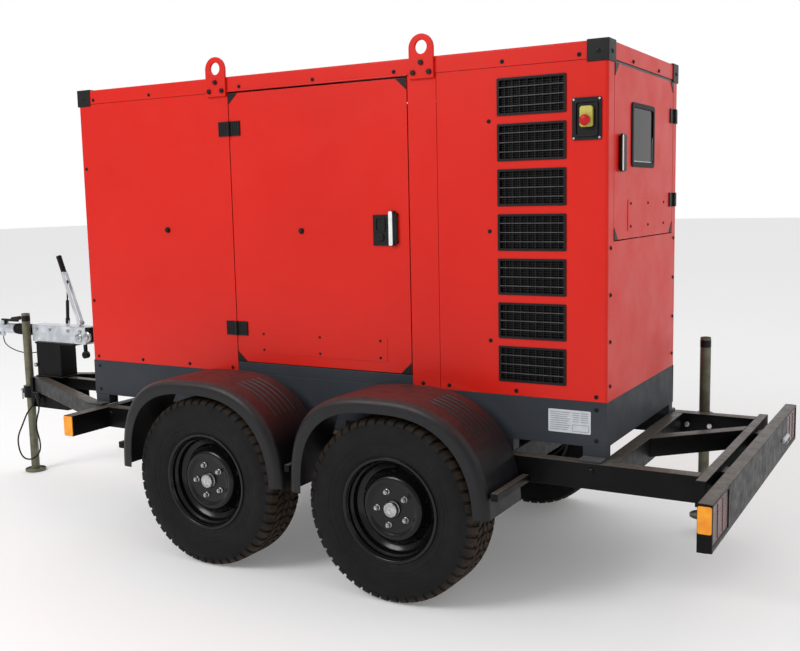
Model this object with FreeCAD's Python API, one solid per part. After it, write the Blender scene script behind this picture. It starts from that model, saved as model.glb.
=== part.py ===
import FreeCAD, Part
import math
import os

# Towable diesel generator: a canopied set on a tandem-axle trailer.
# +X runs from the tow coupling to the light bar, -Y is the left side,
# +Z is up and z = 0 is the ground. All sizes are in millimetres.

V = FreeCAD.Vector
SIDES = (-1, 1)

# ---- driving dimensions ----
canopy_len = 2676.0
canopy_wid = 956.0
tyre_r, tyre_w = 372.0, 230.0
rail_top = 578.0             # top of the chassis rails
rail_w, rail_h, rail_wall = 60.0, 100.0, 4.0
stand_r, stand_clear = 24.0, 0.8
pin_r, pin_clear = 6.0, 0.4
draw_r, draw_clear = 25.0, 0.6
skin = 4.0                   # panel thickness
door_gap = 4.0               # clearance round every door
half_len = canopy_len / 2
half_wid = canopy_wid / 2

# ---- canopy ----
base_bottom = rail_top + 47.0            # underside of the skid base
base_top = base_bottom + 174.0           # seam between base and panels
rail_seam = base_top + 1261.0            # underside of the roof rail band
roof_top = rail_seam + 66.0
base_wall = 5.0
door_front, door_rear = -half_len + 935.0, half_len - 831.0
door_bottom, door_top = base_top + 52.0, rail_seam - 8.0
post_edge = door_rear + 133.0            # joint between the door post and the rear panel
vent_count = 7
vent_pitch = 170.7
vent_len, vent_high = 279.0, 141.0
vent_x0 = half_len - 437.0
vent_top = rail_seam - 42.0
rdoor_near, rdoor_far = -half_wid + 74.0, half_wid - 67.0
rdoor_bottom, rdoor_top = rail_seam - 658.0, rail_seam - 10.0
lever_pin_x, lever_pin_out = door_rear - 55.0, 10.0     # pin of the side door lever
rear_lever_y = rdoor_near + 52.0
lug_half = 4.5               # half width of the lever lugs, inside the lever's swing
hinge_r = 7.0
hinge_z = (door_top - 154.0, door_bottom + 152.0)
hinge_pin_x, hinge_pin_y = door_front + 1.0, half_wid + 8.0
rear_hinge_z = (rdoor_top - 145.0, rdoor_bottom + 143.0)
rear_pin_x, rear_pin_y = half_len + 8.0, rdoor_far + 2.0
estop_x, estop_z = half_len - 77.0, rail_seam - 218.0
bolt_r, bolt_high = 9.0, 5.0

# ---- trailer ----
rail_out = half_wid + 62.0               # outer face of the chassis rails
front_cross_x = -half_len + 88.0
cross_w = 60.0
cross_x = (-760.0, 114.0, 900.0)         # cross-members under the skid base
last_cross_x = half_len - 13.0
front_cross_half = rail_out + 228.0
rear_cross_x, rear_cross_w, rear_cross_half = half_len + 357.0, 38.0, rail_out + 55.0
bumper_x, bumper_w, bumper_h, bumper_half = rear_cross_x + 70.0, 50.0, 165.0, rail_out + 325.0
bumper_top = rail_top + 2.0
plate_lamp = 12.0                        # how far the number-plate lamp stands out
axle_z = tyre_r
wheel_x = (-349.0, 577.0)
wheel_y = rail_out + tyre_w / 2 + 60.0   # tyre centre plane
bead_r = tyre_r - 172.0
hub_face = 58.0              # wheel mounting face outboard of the tyre centre plane
arm_len, pivot_z = 150.0, tyre_r + 71.0
tube_size, tube_end = 70.0, rail_out + 20.0
guard_a, guard_b = tyre_r + 73.0, tyre_r + 80.0
guard_in = rail_out + 6.0
guard_out = wheel_y + tyre_w / 2 + 28.0
guard_t, guard_lip, guard_z0 = 5.0, 62.0, axle_z + 33.0

# ---- towing gear ----
apex_x = front_cross_x - 1020.0
apex_half = 85.0
apex_bottom = 400.0
beam_h = 80.0
housing_x0 = apex_x - 30.0
housing_x1 = housing_x0 + 440.0
housing_half, housing_z0, housing_z1 = 50.0, rail_top + 207.0, rail_top + 307.0
draw_z = housing_z1 - 40.0
head_back = housing_x0 - 190.0
head_tip = head_back - 230.0
latch_x, latch_z = head_tip + 120.0, draw_z + 40.0
front_stand_x, front_stand_y = apex_x - 65.0, -36.0 - stand_r
rear_stand_x, rear_stand_y = last_cross_x + 130.0, rail_out + stand_r + 24.0
stand_len, rear_foot_z = 950.0, 66.0
foot_r = 60.0
clamp_r = stand_r + 14.0
clamp_front_z, clamp_rear_z = 485.0, 530.0
screw_r, screw_clear = 6.8, 0.6
lever_x, lever_z = housing_x1 - 85.0, housing_z1 + 18.0
strut_x, strut_z = lever_x - 105.0, lever_z
grip_x, grip_z = lever_x - 90.0, lever_z + 235.0     # where the strut takes hold of the lever
strut_barrel = 128.0

# puts the origin at the middle of the footprint
shift_x = -(head_tip + bumper_x + bumper_w + plate_lamp) / 2


# ---- small geometry helpers ----
def box(x0, x1, y0, y1, z0, z1):
    lo = V(min(x0, x1), min(y0, y1), min(z0, z1))
    return Part.makeBox(abs(x1 - x0), abs(y1 - y0), abs(z1 - z0), lo)


def rod(p, q, r):
    """Solid cylinder from point p to point q."""
    d = V(*q) - V(*p)
    return Part.makeCylinder(r, d.Length, V(*p), d)


def tube(p, q, r, bore):
    """Cylinder with a through bore."""
    return rod(p, q, r).cut(rod(p, q, bore))


def hollow(x0, x1, y0, y1, z0, z1, t, axis):
    """Rectangular tube with open ends along one axis."""
    pad = {a: (0 if a == axis else t) for a in "xyz"}
    px, py, pz = pad["x"], pad["y"], pad["z"]
    return box(x0, x1, y0, y1, z0, z1).cut(
        box(x0 + px, x1 - px, y0 + py, y1 - py, z0 + pz, z1 - pz))


def prism(points, vec):
    """Straight prism on a closed outline of 3-D points."""
    pts = [V(*p) for p in points]
    wire = Part.makePolygon(pts + [pts[0]])
    return Part.Face(wire).extrude(V(*vec))


def side_box(s, x0, x1, y_in, y_out, z0, z1):
    """Box on side s, given by its distances from the centre plane."""
    return box(x0, x1, s * y_in, s * y_out, z0, z1)


def mirror_y(shape):
    return shape.mirror(V(0, 0, 0), V(0, 1, 0))


def both(shape):
    """The left-hand shape and its right-hand mirror image."""
    return [shape, mirror_y(shape)]


def fuse(shapes):
    out = shapes[0].multiFuse(shapes[1:]) if len(shapes) > 1 else shapes[0]
    return out.removeSplitter()


def ring_xy(cx, cy, z0, z1, r, bore):
    return tube((cx, cy, z0), (cx, cy, z1), r, bore)


def spin_y(points, cx, cy, cz):
    """Solid of revolution about a Y axis; points are (radius, offset along Y)."""
    pts = [V(cx + r, cy + o, cz) for r, o in points]
    face = Part.Face(Part.makePolygon(pts + [pts[0]]))
    return face.revolve(V(cx, cy, cz), V(0, 1, 0), 360)


def hexagon(cx, cy, cz, across, depth):
    """Hexagonal nut with its axis along Y."""
    r = across / math.sqrt(3)
    pts = [(cx + r * math.cos(k * math.pi / 3), cy, cz + r * math.sin(k * math.pi / 3))
           for k in range(6)]
    return prism(pts, (0, depth, 0))


NODES = {}


def node(name, *shapes):
    """Store the solids of one sub-part, whatever nesting they came in."""
    flat = []
    for s in shapes:
        flat += s if isinstance(s, (list, tuple)) else [s]
    NODES.setdefault(name, []).extend(flat)


# ---- trailer frame ----
def chassis_frame():
    z0, z1 = rail_top - rail_h, rail_top
    inner = rail_out - rail_w
    parts = both(hollow(front_cross_x + cross_w, rear_cross_x, -rail_out, -inner, z0, z1,
                        rail_wall, "x"))
    parts.append(hollow(front_cross_x, front_cross_x + cross_w, -front_cross_half,
                        front_cross_half, z0, z1, rail_wall, "y"))
    for x in cross_x + (last_cross_x,):
        parts.append(hollow(x, x + cross_w, -inner, inner, z0, z1, rail_wall, "y"))
    parts.append(hollow(rear_cross_x, rear_cross_x + rear_cross_w, -rear_cross_half,
                        rear_cross_half, z0 + 20, z1, rail_wall, "y"))
    # one diagonal behind the canopy, from the last cross-member to the right end
    x_a, x_b, brace = last_cross_x + cross_w, rear_cross_x, 85.0
    y_a = -62.0
    y_b = y_a + (x_b - x_a)
    parts.append(prism([(x_a, y_a, z0 + 20), (x_b, y_b, z0 + 20), (x_b, y_b + brace, z0 + 20),
                        (x_a, y_a + brace, z0 + 20)], (0, 0, rail_h - 20)))
    # plates that carry the light bar
    for y in (-330.0, 330.0):
        parts.append(box(rear_cross_x + rear_cross_w, bumper_x, y - 40, y + 40, z0 + 20, z1 - 20))
    # outriggers that carry the mudguards
    lo = wheel_x[0] - guard_a - 1
    hi = wheel_x[1] + guard_a + 1
    mid = (wheel_x[0] + wheel_x[1]) / 2
    for x0, x1 in ((lo - 30, lo), (mid - 13, mid + 13), (hi, hi + 30)):
        parts += both(box(x0, x1, -rail_out, -guard_out + 20, z0, z0 + 30))
    return parts


def drawbar_frame():
    """Two converging beams, the box under their meeting point and the tall riser."""
    z1 = rail_top
    z0 = rail_top - beam_h
    foot_y = rail_out + 14.0
    foot_x = front_cross_x
    run = math.hypot(foot_x - apex_x, foot_y - apex_half)
    across = rail_w * run / (foot_x - apex_x)      # beam width measured along Y
    beam = prism([(apex_x, -apex_half, z0), (foot_x, -foot_y, z0),
                  (foot_x, -foot_y + across, z0), (apex_x, -apex_half + across, z0)],
                 (0, 0, z1 - z0))
    parts = both(beam)
    parts.append(box(apex_x - 20, apex_x, -apex_half - 10, apex_half + 10, apex_bottom, z1))
    for s in SIDES:
        parts.append(side_box(s, apex_x, apex_x + 270, apex_half - 12, apex_half, apex_bottom, z0))
    parts.append(box(apex_x, apex_x + 270, -apex_half + 12, apex_half - 12,
                     apex_bottom, apex_bottom + 8))
    parts.append(box(apex_x + 190, foot_x, -25, 25, z0 + 20, z1))
    # riser column between drawbar and overrun housing
    parts.append(box(apex_x, apex_x + 215, -66, 66, z1, z1 + 8))
    parts.append(hollow(apex_x + 8, apex_x + 208, -58, 58, z1 + 8, housing_z0 - 10, 8, "z"))
    parts.append(box(apex_x + 2, apex_x + 320, -62, 62, housing_z0 - 10, housing_z0))
    return parts


def rear_light_bar():
    x0, x1 = bumper_x, bumper_x + bumper_w
    body = box(x0, x1, -bumper_half + 6, bumper_half - 6, bumper_top - bumper_h, bumper_top)
    body = body.cut(box(x0 + 4, x1 - 20, -bumper_half, bumper_half, bumper_top - bumper_h + 4,
                        bumper_top - 4))
    for s in SIDES:
        body = body.cut(side_box(s, x1 - 17, x1 + 1, bumper_half - 253, bumper_half - 17,
                                 bumper_top - 148, bumper_top - 12))
    return body


def tail_lamps():
    """Two lens blocks in their pockets and the small number-plate lamp."""
    x1 = bumper_x + bumper_w
    lenses = [side_box(s, x1 - 17, x1 - 3, bumper_half - 250, bumper_half - 20,
                       bumper_top - 145, bumper_top - 15) for s in SIDES]
    return lenses + [box(x1, x1 + plate_lamp, 480, 600, bumper_top - 102, bumper_top - 78)]


def side_markers():
    parts = []
    for s in SIDES:
        parts.append(side_box(s, bumper_x + 2, bumper_x + bumper_w - 2, bumper_half - 6,
                              bumper_half, bumper_top - 100, bumper_top - 8))
        parts.append(side_box(s, front_cross_x + 2, front_cross_x + cross_w - 2,
                              front_cross_half, front_cross_half + 6, rail_top - rail_h + 2,
                              rail_top - 2))
    return parts


def mudguard(cx):
    """Moulded guard: squarer at the front, rounder at the rear, with a turned-down lip."""
    def outline(a, b, y):
        pts = []
        for k in range(33):
            t = math.pi * k / 32
            power = 2 / 3.0 if t > math.pi / 2 else 2 / 2.4
            c, s = math.cos(t), math.sin(t)
            x = a * math.copysign(abs(c) ** power, c)
            pts.append(V(cx + x, y, axle_z + b * abs(s) ** power))
        curve = Part.BSplineCurve()
        curve.interpolate(pts)
        right, left = pts[0], pts[-1]
        drop = V(0, 0, -60)
        edges = [curve.toShape(), Part.makeLine(left, left + drop),
                 Part.makeLine(left + drop, right + drop), Part.makeLine(right + drop, right)]
        return Part.Face(Part.Wire(Part.__sortEdges__(edges)))

    wide = guard_out - guard_in
    solid = outline(guard_a, guard_b, -guard_out).extrude(V(0, wide, 0))
    cavity = outline(guard_a - guard_t, guard_b - guard_t,
                     -guard_out + guard_t).extrude(V(0, wide, 0))
    window = outline(guard_a - guard_lip, guard_b - guard_lip,
                     -guard_out - 5).extrude(V(0, 60, 0))
    below = box(cx - 600, cx + 600, -guard_out - 10, -guard_in + 10, 0, guard_z0)
    return solid.cut(cavity).cut(window).cut(below)


def mudguards():
    parts = []
    for cx in wheel_x:
        parts += both(mudguard(cx))
    return parts


# ---- running gear ----
def pivot_x(cx):
    return cx - math.sqrt(arm_len ** 2 - (pivot_z - axle_z) ** 2)


def axle_beams():
    parts = []
    for cx in wheel_x:
        x, h = pivot_x(cx), tube_size / 2
        parts.append(hollow(x - h, x + h, -tube_end, tube_end, pivot_z - h, pivot_z + h, 5, "y"))
    return parts


def swing_arm(cx, s):
    """Trailing arm with its torsion shaft, stub spindle and brake back plate."""
    px = pivot_x(cx)
    y0, y1 = wheel_y - 85, wheel_y - 45          # arm thickness band
    shaft = rod((px, s * (tube_end - 60), pivot_z), (px, s * y1, pivot_z), 20)
    boss = rod((px, s * y0, pivot_z), (px, s * y1, pivot_z), 30)
    end = rod((cx, s * y0, axle_z), (cx, s * y1, axle_z), 30)
    dx, dz = (cx - px) / arm_len, (axle_z - pivot_z) / arm_len
    w = 26
    web = prism([(px - dz * w, s * y0, pivot_z + dx * w), (cx - dz * w, s * y0, axle_z + dx * w),
                 (cx + dz * w, s * y0, axle_z - dx * w), (px + dz * w, s * y0, pivot_z - dx * w)],
                (0, s * (y1 - y0), 0))
    spindle = rod((cx, s * y1, axle_z), (cx, s * (wheel_y + 35), axle_z), 20)
    plate = rod((cx, s * y1, axle_z), (cx, s * (y1 + 5), axle_z), 126)
    return fuse([shaft, boss, end, web, spindle, plate])


def tyre(cx, s):
    h = tyre_w / 2
    out = [(bead_r + 1, -88), (bead_r + 14, -88), (250, -106), (300, -h), (340, -108),
           (364, -96), (tyre_r, -84)]
    for g in (-42, 0, 42):
        out += [(tyre_r, g - 5), (tyre_r - 8, g - 4), (tyre_r - 8, g + 4), (tyre_r, g + 5)]
    out += [(tyre_r, 84), (364, 96), (340, 108), (300, h), (250, 106),
            (bead_r + 14, 88), (bead_r + 1, 88)]
    inner = [(bead_r + 1, 72), (250, 92), (300, 99), (340, 92), (354, 80), (354, -80), (340, -92),
             (300, -99), (250, -92), (bead_r + 1, -72)]
    return spin_y(out + inner, cx, s * wheel_y, axle_z)


def rim(cx, s):
    """Steel wheel with the hub, drum, nuts and cap that turn with it."""
    def o(v):
        return s * v

    barrel = [(bead_r, o(91)), (210, o(91)), (210, o(96)), (bead_r - 5, o(96)),
              (bead_r - 5, o(-96)), (210, o(-96)), (210, o(-91)), (bead_r, o(-91))]
    f = hub_face
    disc = [(34, o(f)), (34, o(f + 5)), (92, o(f + 5)), (112, o(f + 13)), (128, o(f + 8)),
            (150, o(f - 20)), (bead_r - 5, o(f - 28)), (bead_r - 5, o(f - 33)), (147, o(f - 25)),
            (125, o(f + 3)), (112, o(f + 8)), (94, o(f))]
    cy = s * wheel_y
    wheel = fuse([spin_y(barrel, cx, cy, axle_z), spin_y(disc, cx, cy, axle_z)])
    hub = [(0, o(f)), (88, o(f)), (134, o(f - 12)), (134, o(-30)), (128, o(-30)), (128, o(f - 18)),
           (46, o(f - 12)), (46, o(-32)), (21, o(-32)), (21, o(f - 14)), (0, o(f - 14))]
    parts = [wheel, spin_y(hub, cx, cy, axle_z)]
    cap = [(0, o(f)), (30, o(f)), (30, o(f + 22)), (24, o(f + 28)), (0, o(f + 28))]
    parts.append(spin_y(cap, cx, cy, axle_z))
    stud_circle = 139.7 / 2
    for k in range(5):
        a = math.radians(39 + 72 * k)
        parts.append(hexagon(cx + stud_circle * math.cos(a), cy + o(f + 5),
                             axle_z + stud_circle * math.sin(a), 19, o(14)))
    return parts


# ---- skid base and canopy ----
def base_frame():
    """Folded skid base with door sills, feet on the trailer and the engine bearers."""
    t = base_wall
    parts = both(box(-half_len, half_len, -half_wid, -half_wid + t, base_bottom, base_top))
    for x in (-half_len, half_len - t):
        parts.append(box(x, x + t, -half_wid + t, half_wid - t, base_bottom, base_top))
    for s in SIDES:
        parts.append(side_box(s, door_front - door_gap, door_rear + door_gap, half_wid - 26,
                              half_wid, base_top, door_bottom - door_gap))
    for y in (-230.0, 230.0):
        parts.append(hollow(-half_len + t, half_len - t, y - 30, y + 30, base_top - 80,
                            base_top, 5, "x"))
    # end pads inside the base, and feet that stand on the trailer rails and cross-members
    for x in (-half_len + 48, half_len - 48):
        parts += both(box(x - 40, x + 40, -half_wid + t, -260, base_bottom, base_bottom + 60))
        parts += both(fuse([box(x - 45, x + 45, -half_wid, -half_wid + 60, rail_top,
                                base_bottom),
                            box(x - 45, x + 45, -rail_out + 8, -half_wid, rail_top,
                                rail_top + 10)]))
    for x in cross_x:
        parts += both(box(x, x + cross_w, -half_wid, -half_wid + 60, rail_top, base_bottom))
    return parts


def fuel_tank():
    shell = box(-480, 480, -180, 180, base_bottom + 8, base_top - 20)
    return shell.cut(box(-476, 476, -176, 176, base_bottom + 12, base_top - 24))


def canopy_posts():
    """Inner posts of the canopy and the roof hoops that tie them together."""
    parts = []
    y_out = half_wid - skin
    for x0, x1 in ((-half_len + skin, -half_len + skin + 34), (door_front - 44, door_front - 10),
                   (door_rear + 10, door_rear + 44), (half_len - skin - 34, half_len - skin)):
        z_low = base_top
        parts += both(hollow(x0, x1, -y_out, -y_out + 34, z_low, rail_seam - 40, 3, "z"))
        parts.append(hollow(x0, x1, -y_out, y_out, rail_seam - 40, rail_seam, 3, "y"))
    return parts


def vent_boxes(y0, y1, inset):
    """Blocks at the seven side vents, shrunk by an inset."""
    out = []
    for k in range(vent_count):
        z1 = vent_top - k * vent_pitch
        out.append(box(vent_x0 + inset, vent_x0 + vent_len - inset, y0, y1,
                       z1 - vent_high + inset, z1 - inset))
    return out


def side_panels():
    """Fixed red panels each side: front, door post and vented rear."""
    y_out, y_in = -half_wid, -half_wid + skin
    front = box(-half_len, door_front - door_gap, y_out, y_in, base_top, rail_seam)
    post = box(door_rear + door_gap, post_edge, y_out, y_in, base_top, rail_seam)
    rear = box(post_edge + 1, half_len, y_out, y_in, base_top, rail_seam)
    for b in vent_boxes(y_out - 1, y_in + 1, 6):
        rear = rear.cut(b)
    return both(front) + both(post) + both(rear)


def end_panels():
    """Louvred front end, lower rear panel and the strips beside the rear door."""
    y = half_wid - skin
    x = half_len
    front = box(-x, -x + skin, -y, y, base_top, rail_seam)
    for k in range(8):
        z = 1000 + 110 * k
        front = front.cut(box(-x - 1, -x + skin + 1, -320, 320, z, z + 60))
    lower = box(x - skin, x, -y, y, base_top, rdoor_bottom - door_gap)
    z0 = rdoor_bottom - door_gap
    left = box(x - skin, x, -y, rdoor_near - door_gap, z0, rail_seam)
    right = box(x - skin, x, rdoor_far + door_gap, y, z0, rail_seam)
    return [front, lower, left, right]


def roof_panel():
    outer = box(-half_len, half_len, -half_wid, half_wid, rail_seam, roof_top)
    inner = box(-half_len + skin, half_len - skin, -half_wid + skin, half_wid - skin,
                rail_seam - 1, roof_top - skin)
    return outer.cut(inner)


def corner_caps():
    """Moulded black caps over the four roof corners."""
    t, run, deep = 4.0, 80.0, 76.0
    parts = []
    roof = box(-half_len, half_len, -half_wid, half_wid, 0, roof_top)
    for x0, x1 in ((-half_len - t, -half_len + run), (half_len - run, half_len + t)):
        cap = box(x0, x1, -half_wid - t, -half_wid + run, roof_top - deep, roof_top + t)
        parts += both(cap.cut(roof))
    return parts


def lifting_eye(x):
    y0, y1 = -half_wid - 12, -half_wid
    top, low, half = roof_top + 89.0, rail_seam - 18, 55.0
    plate = box(x - half, x + half, y0, y1, low, top - half)
    head = rod((x, y0, top - half), (x, y1, top - half), half)
    hole = rod((x, y0 - 1, top - half + 4), (x, y1 + 1, top - half + 4), 27)
    bolts = [rod((x + dx, y0 - 9, z), (x + dx, y0, z), 10)
             for dx, z in ((0, rail_seam + 44), (-36, rail_seam + 6), (36, rail_seam + 6))]
    return [plate.fuse(head).cut(hole).removeSplitter()] + bolts


def lifting_eyes():
    parts = []
    for x in (door_front - 61.0, door_rear + 73.0):
        for piece in lifting_eye(x):
            parts += both(piece)
    return parts


def vent_grilles():
    parts = []
    y0, y1 = -half_wid - 4, -half_wid
    for b, hole in zip(vent_boxes(y0, y1, 0), vent_boxes(y0 - 1, y1 + 1, 9)):
        box_z = b.BoundBox
        pieces = [b.cut(hole)]
        for k in range(1, 5):
            z = box_z.ZMin + (box_z.ZMax - box_z.ZMin) * k / 5
            pieces.append(box(box_z.XMin + 8, box_z.XMax - 8, y0, y1, z - 4, z + 4))
        parts += both(fuse(pieces))
    return parts


def panel_bolts():
    """Domed black screws; the list holds those of the left side."""
    y = -half_wid
    end = half_len - 28
    rail_spots = (-0.925, -0.654, -0.254, 0.04, 0.336, 0.69, 0.918)
    spots = [(half_len * part, rail_seam + 19) for part in rail_spots]
    spots += [(-end + d, base_top + 20) for d in (10, 310, 610, 870)]
    spots += [(end - d, base_top + 20) for d in (12, 336, 630, 750)]
    spots += [(vent_x0 - 35, z) for z in (1860, 1012, 1440)]
    spots += [(-end, 1750), (-end, 1100), (-end + 514, 1450)]
    spots += [(x, base_top - d) for x in (-half_len + 39, half_len - 39) for d in (29, 148)]
    parts = []
    for x, z in spots:
        parts += both(rod((x, y - bolt_high, z), (x, y, z), bolt_r))
    x = half_len
    rear_spots = [(half_wid - 38, z) for z in (1376, 1201, 1025, 857)]
    for across, z in rear_spots + [(178, rail_seam + 15)]:
        for s in SIDES:
            parts.append(rod((x, s * across, z), (x + bolt_high, s * across, z), bolt_r))
    return parts


def side_door(s):
    """Hinged side door: skin, inner pan, access plate and moving hinge leaves."""
    y = half_wid
    leaf = side_box(s, door_front, door_rear, y - skin, y, door_bottom, door_top)
    pan = side_box(s, door_front + 20, door_rear - 20, y - 28, y - skin, door_bottom + 20,
                   door_top - 20)
    pan = pan.cut(side_box(s, door_front + 23, door_rear - 23, y - 29, y - skin,
                           door_bottom + 23, door_top - 23))
    plate = side_box(s, door_front + 117, door_rear - 114, y, y + 2, door_bottom + 44,
                     door_bottom + 148)
    body = fuse([leaf, pan])
    parts = [body, plate]
    for z in hinge_z:
        parts.append(side_box(s, hinge_pin_x + 9, hinge_pin_x + 60, y, y + 5, z - 32, z + 32))
        parts.append(rod((hinge_pin_x, s * hinge_pin_y, z - 32), (hinge_pin_x, s * hinge_pin_y, z - 1),
                         hinge_r)
                     .fuse(side_box(s, hinge_pin_x, hinge_pin_x + 9, y + 3, y + 5, z - 32, z - 1))
                     .removeSplitter())
    parts.append(side_box(s, lever_pin_x - 114, lever_pin_x - 38, y, y + 5, 1382, 1509))
    for z in (1391, 1505):
        parts.append(side_box(s, lever_pin_x - lug_half, lever_pin_x + lug_half, y, y + 15, z, z + 10))
    return parts


def fixed_hinge_leaves():
    parts = []
    y = half_wid
    for s in SIDES:
        for z in hinge_z:
            knuckle = rod((hinge_pin_x, s * hinge_pin_y, z + 1),
                          (hinge_pin_x, s * hinge_pin_y, z + 32), hinge_r)
            strap = side_box(s, hinge_pin_x - 9, hinge_pin_x, y + 3, y + 5, z + 1, z + 32)
            parts.append(knuckle.fuse(strap).removeSplitter())
            parts.append(side_box(s, hinge_pin_x - 60, hinge_pin_x - 9, y, y + 5, z - 32, z + 32))
    x = half_len
    for z in rear_hinge_z:
        knuckle = rod((rear_pin_x, rear_pin_y, z + 1), (rear_pin_x, rear_pin_y, z + 30), hinge_r)
        strap = box(x + 3, x + 5, rear_pin_y, rear_pin_y + 9, z + 1, z + 30)
        parts.append(knuckle.fuse(strap).removeSplitter())
        parts.append(box(x, x + 5, rear_pin_y + 9, rear_pin_y + 55, z - 30, z + 30))
    return parts


def side_lever(s):
    """Folding lever of the side door latch, on a vertical pin at its rear edge."""
    y = half_wid
    px = lever_pin_x
    grip = side_box(s, px - 32, px - 7, y + 4, y + 16, 1382, 1524)
    block = side_box(s, px - 7, px, y + 5, y + 15, 1402, 1504)
    pin = rod((px, s * (y + lever_pin_out), 1402), (px, s * (y + lever_pin_out), 1504), 5)
    return fuse([grip, block, pin])


def rear_door():
    x = half_len
    leaf = box(x - skin, x, rdoor_near, rdoor_far, rdoor_bottom, rdoor_top)
    pan = box(x - 24, x - skin, rdoor_near + 20, rdoor_far - 20, rdoor_bottom + 20,
              rdoor_top - 34)
    pan = pan.cut(box(x - 25, x - skin, rdoor_near + 23, rdoor_far - 23, rdoor_bottom + 23,
                      rdoor_top - 37))
    cut = box(x - 30, x + 1, rdoor_near + 211, rdoor_near + 509, 1682, 1919)
    plate = box(x, x + 2, rdoor_near + 169, rdoor_far - 111, rdoor_bottom + 30,
                rdoor_bottom + 150)
    parts = [fuse([leaf, pan]).cut(cut), plate]
    for z in rear_hinge_z:
        parts.append(box(x, x + 5, rear_pin_y - 55, rear_pin_y - 9, z - 30, z + 30))
        parts.append(rod((rear_pin_x, rear_pin_y, z - 30), (rear_pin_x, rear_pin_y, z - 1), hinge_r)
                     .fuse(box(x + 3, x + 5, rear_pin_y - 9, rear_pin_y, z - 30, z - 1))
                     .removeSplitter())
    parts.append(box(x, x + 5, rear_lever_y + 36, rear_lever_y + 84, 1660, 1794))
    for z in (1666, 1777):
        parts.append(box(x, x + 15, rear_lever_y - lug_half, rear_lever_y + lug_half, z, z + 10))
    return parts


def rear_door_window():
    """Pane in its rubber frame."""
    x = half_len
    y0, y1 = rdoor_near + 211, rdoor_near + 509
    z0, z1 = 1682, 1919
    flange = box(x, x + 6, y0 - 5, y1 + 5, z0 - 5, z1 + 5)
    neck = box(x - skin, x, y0, y1, z0, z1)
    sight = box(x - 9, x + 7, y0 + 15, y1 - 15, z0 + 15, z1 - 15)
    ring = flange.fuse(neck).removeSplitter().cut(sight)
    pane = box(x - skin, x - 1, y0 + 15, y1 - 15, z0 + 15, z1 - 15)
    return [ring, pane]


def rear_lever():
    x = half_len
    y = rear_lever_y
    grip = box(x + 4, x + 16, y + 7, y + 32, 1657, 1796)
    block = box(x + 5, x + 15, y, y + 7, 1677, 1776)
    pin = rod((x + lever_pin_out, y, 1677), (x + lever_pin_out, y, 1776), 5)
    return fuse([grip, block, pin])


# ---- controls on the panel ----
def estop_station():
    y, x, z = -half_wid, estop_x, estop_z
    plate = box(x - 58, x + 54, y - 6, y, z - 70, z + 83)
    body = box(x - 23, x + 25, y - 24, y - 6, z - 24, z + 51)
    bore = rod((x, y - 25, z), (x, y - 8, z), 9)
    return [plate, body.cut(bore)]


def estop_button():
    y, x, z = -half_wid, estop_x, estop_z
    head = rod((x, y - 42, z), (x, y - 31, z), 20)
    stem = rod((x, y - 31, z), (x, y - 14, z), 8.4)
    return fuse([head, stem])


# ---- machinery inside ----
fan_x, fan_z = -half_len + 413.0, 1250.0     # front face of the fan hub


def cored(shape, x0, x1, y0, y1, z0, z1):
    """Castings are hollow: remove the room for the moving parts."""
    return shape.cut(box(x0, x1, y0, y1, z0, z1))


def engine_block():
    block = cored(box(-600, 200, -190, 190, 950, 1300), -580, 180, -160, 160, 970, 1280)
    sump = cored(box(-520, 120, -150, 150, 850, 950), -510, 110, -140, 140, 860, 940)
    head = cored(box(-600, 200, -150, 150, 1300, 1440), -585, 185, -135, 135, 1315, 1425)
    bell = box(200, 260, -230, 230, 900, 1340)
    feet = [box(x, x + 80, s * 190, s * 255, base_top, 1040) for x in (-500, 60) for s in SIDES]
    shaft = rod((fan_x - 5, 0, fan_z), (-600, 0, fan_z), 24)
    manifold = box(-500, 100, 150, 225, 1340, 1390)
    filters = [rod((-450, -235, 1150), (-450, -235, 1290), 42),
               rod((-330, -235, 1150), (-330, -235, 1290), 42)]
    return [block, sump, head, bell, shaft, manifold] + feet + filters


def alternator():
    body = rod((260, 0, 1120), (860, 0, 1120), 255)
    body = body.cut(rod((275, 0, 1120), (845, 0, 1120), 215))
    terminal = box(480, 780, -170, 170, 1372, 1500).cut(box(486, 774, -164, 164, 1378, 1494))
    feet = [box(x, x + 90, s * 205, s * 255, base_top, 1000) for x in (360, 700) for s in SIDES]
    feet = [f.cut(rod((200, 0, 1120), (900, 0, 1120), 255)) for f in feet]
    core = rod((290, 0, 1120), (830, 0, 1120), 120)
    ends = [rod((275, 0, 1120), (290, 0, 1120), 60), rod((830, 0, 1120), (845, 0, 1120), 60)]
    terminal = terminal.cut(rod((200, 0, 1120), (900, 0, 1120), 255))
    return [body, terminal, fuse([core] + ends)] + feet


def radiator():
    x = fan_x - 15
    y = half_wid - 98
    core = box(x - 56, x - 24, -y, y, 880, 1800)
    frame = box(x - 80, x, -y - 20, y + 20, base_top, 1860)
    frame = frame.cut(box(x - 77, x - 3, -y - 17, y + 17, base_top + 3, 1857))
    frame = frame.cut(box(x - 81, x + 1, -y, y, 880, 1800))
    stays = [box(x - 77, x - 3, s * y, s * (y + 17), 1300, 1340) for s in SIDES]
    inlet = rod((x - 6, 0, fan_z), (x + 6, 0, fan_z), 335)
    baffle = box(x - 3, x, -y, y, 880, 1800).cut(inlet)
    shroud = tube((x, 0, fan_z), (x + 60, 0, fan_z), 345, 335)
    neck = rod((x - 40, -200, 1860), (x - 40, -200, 1885), 30)
    return [core, frame, baffle, shroud, neck] + stays


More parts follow.
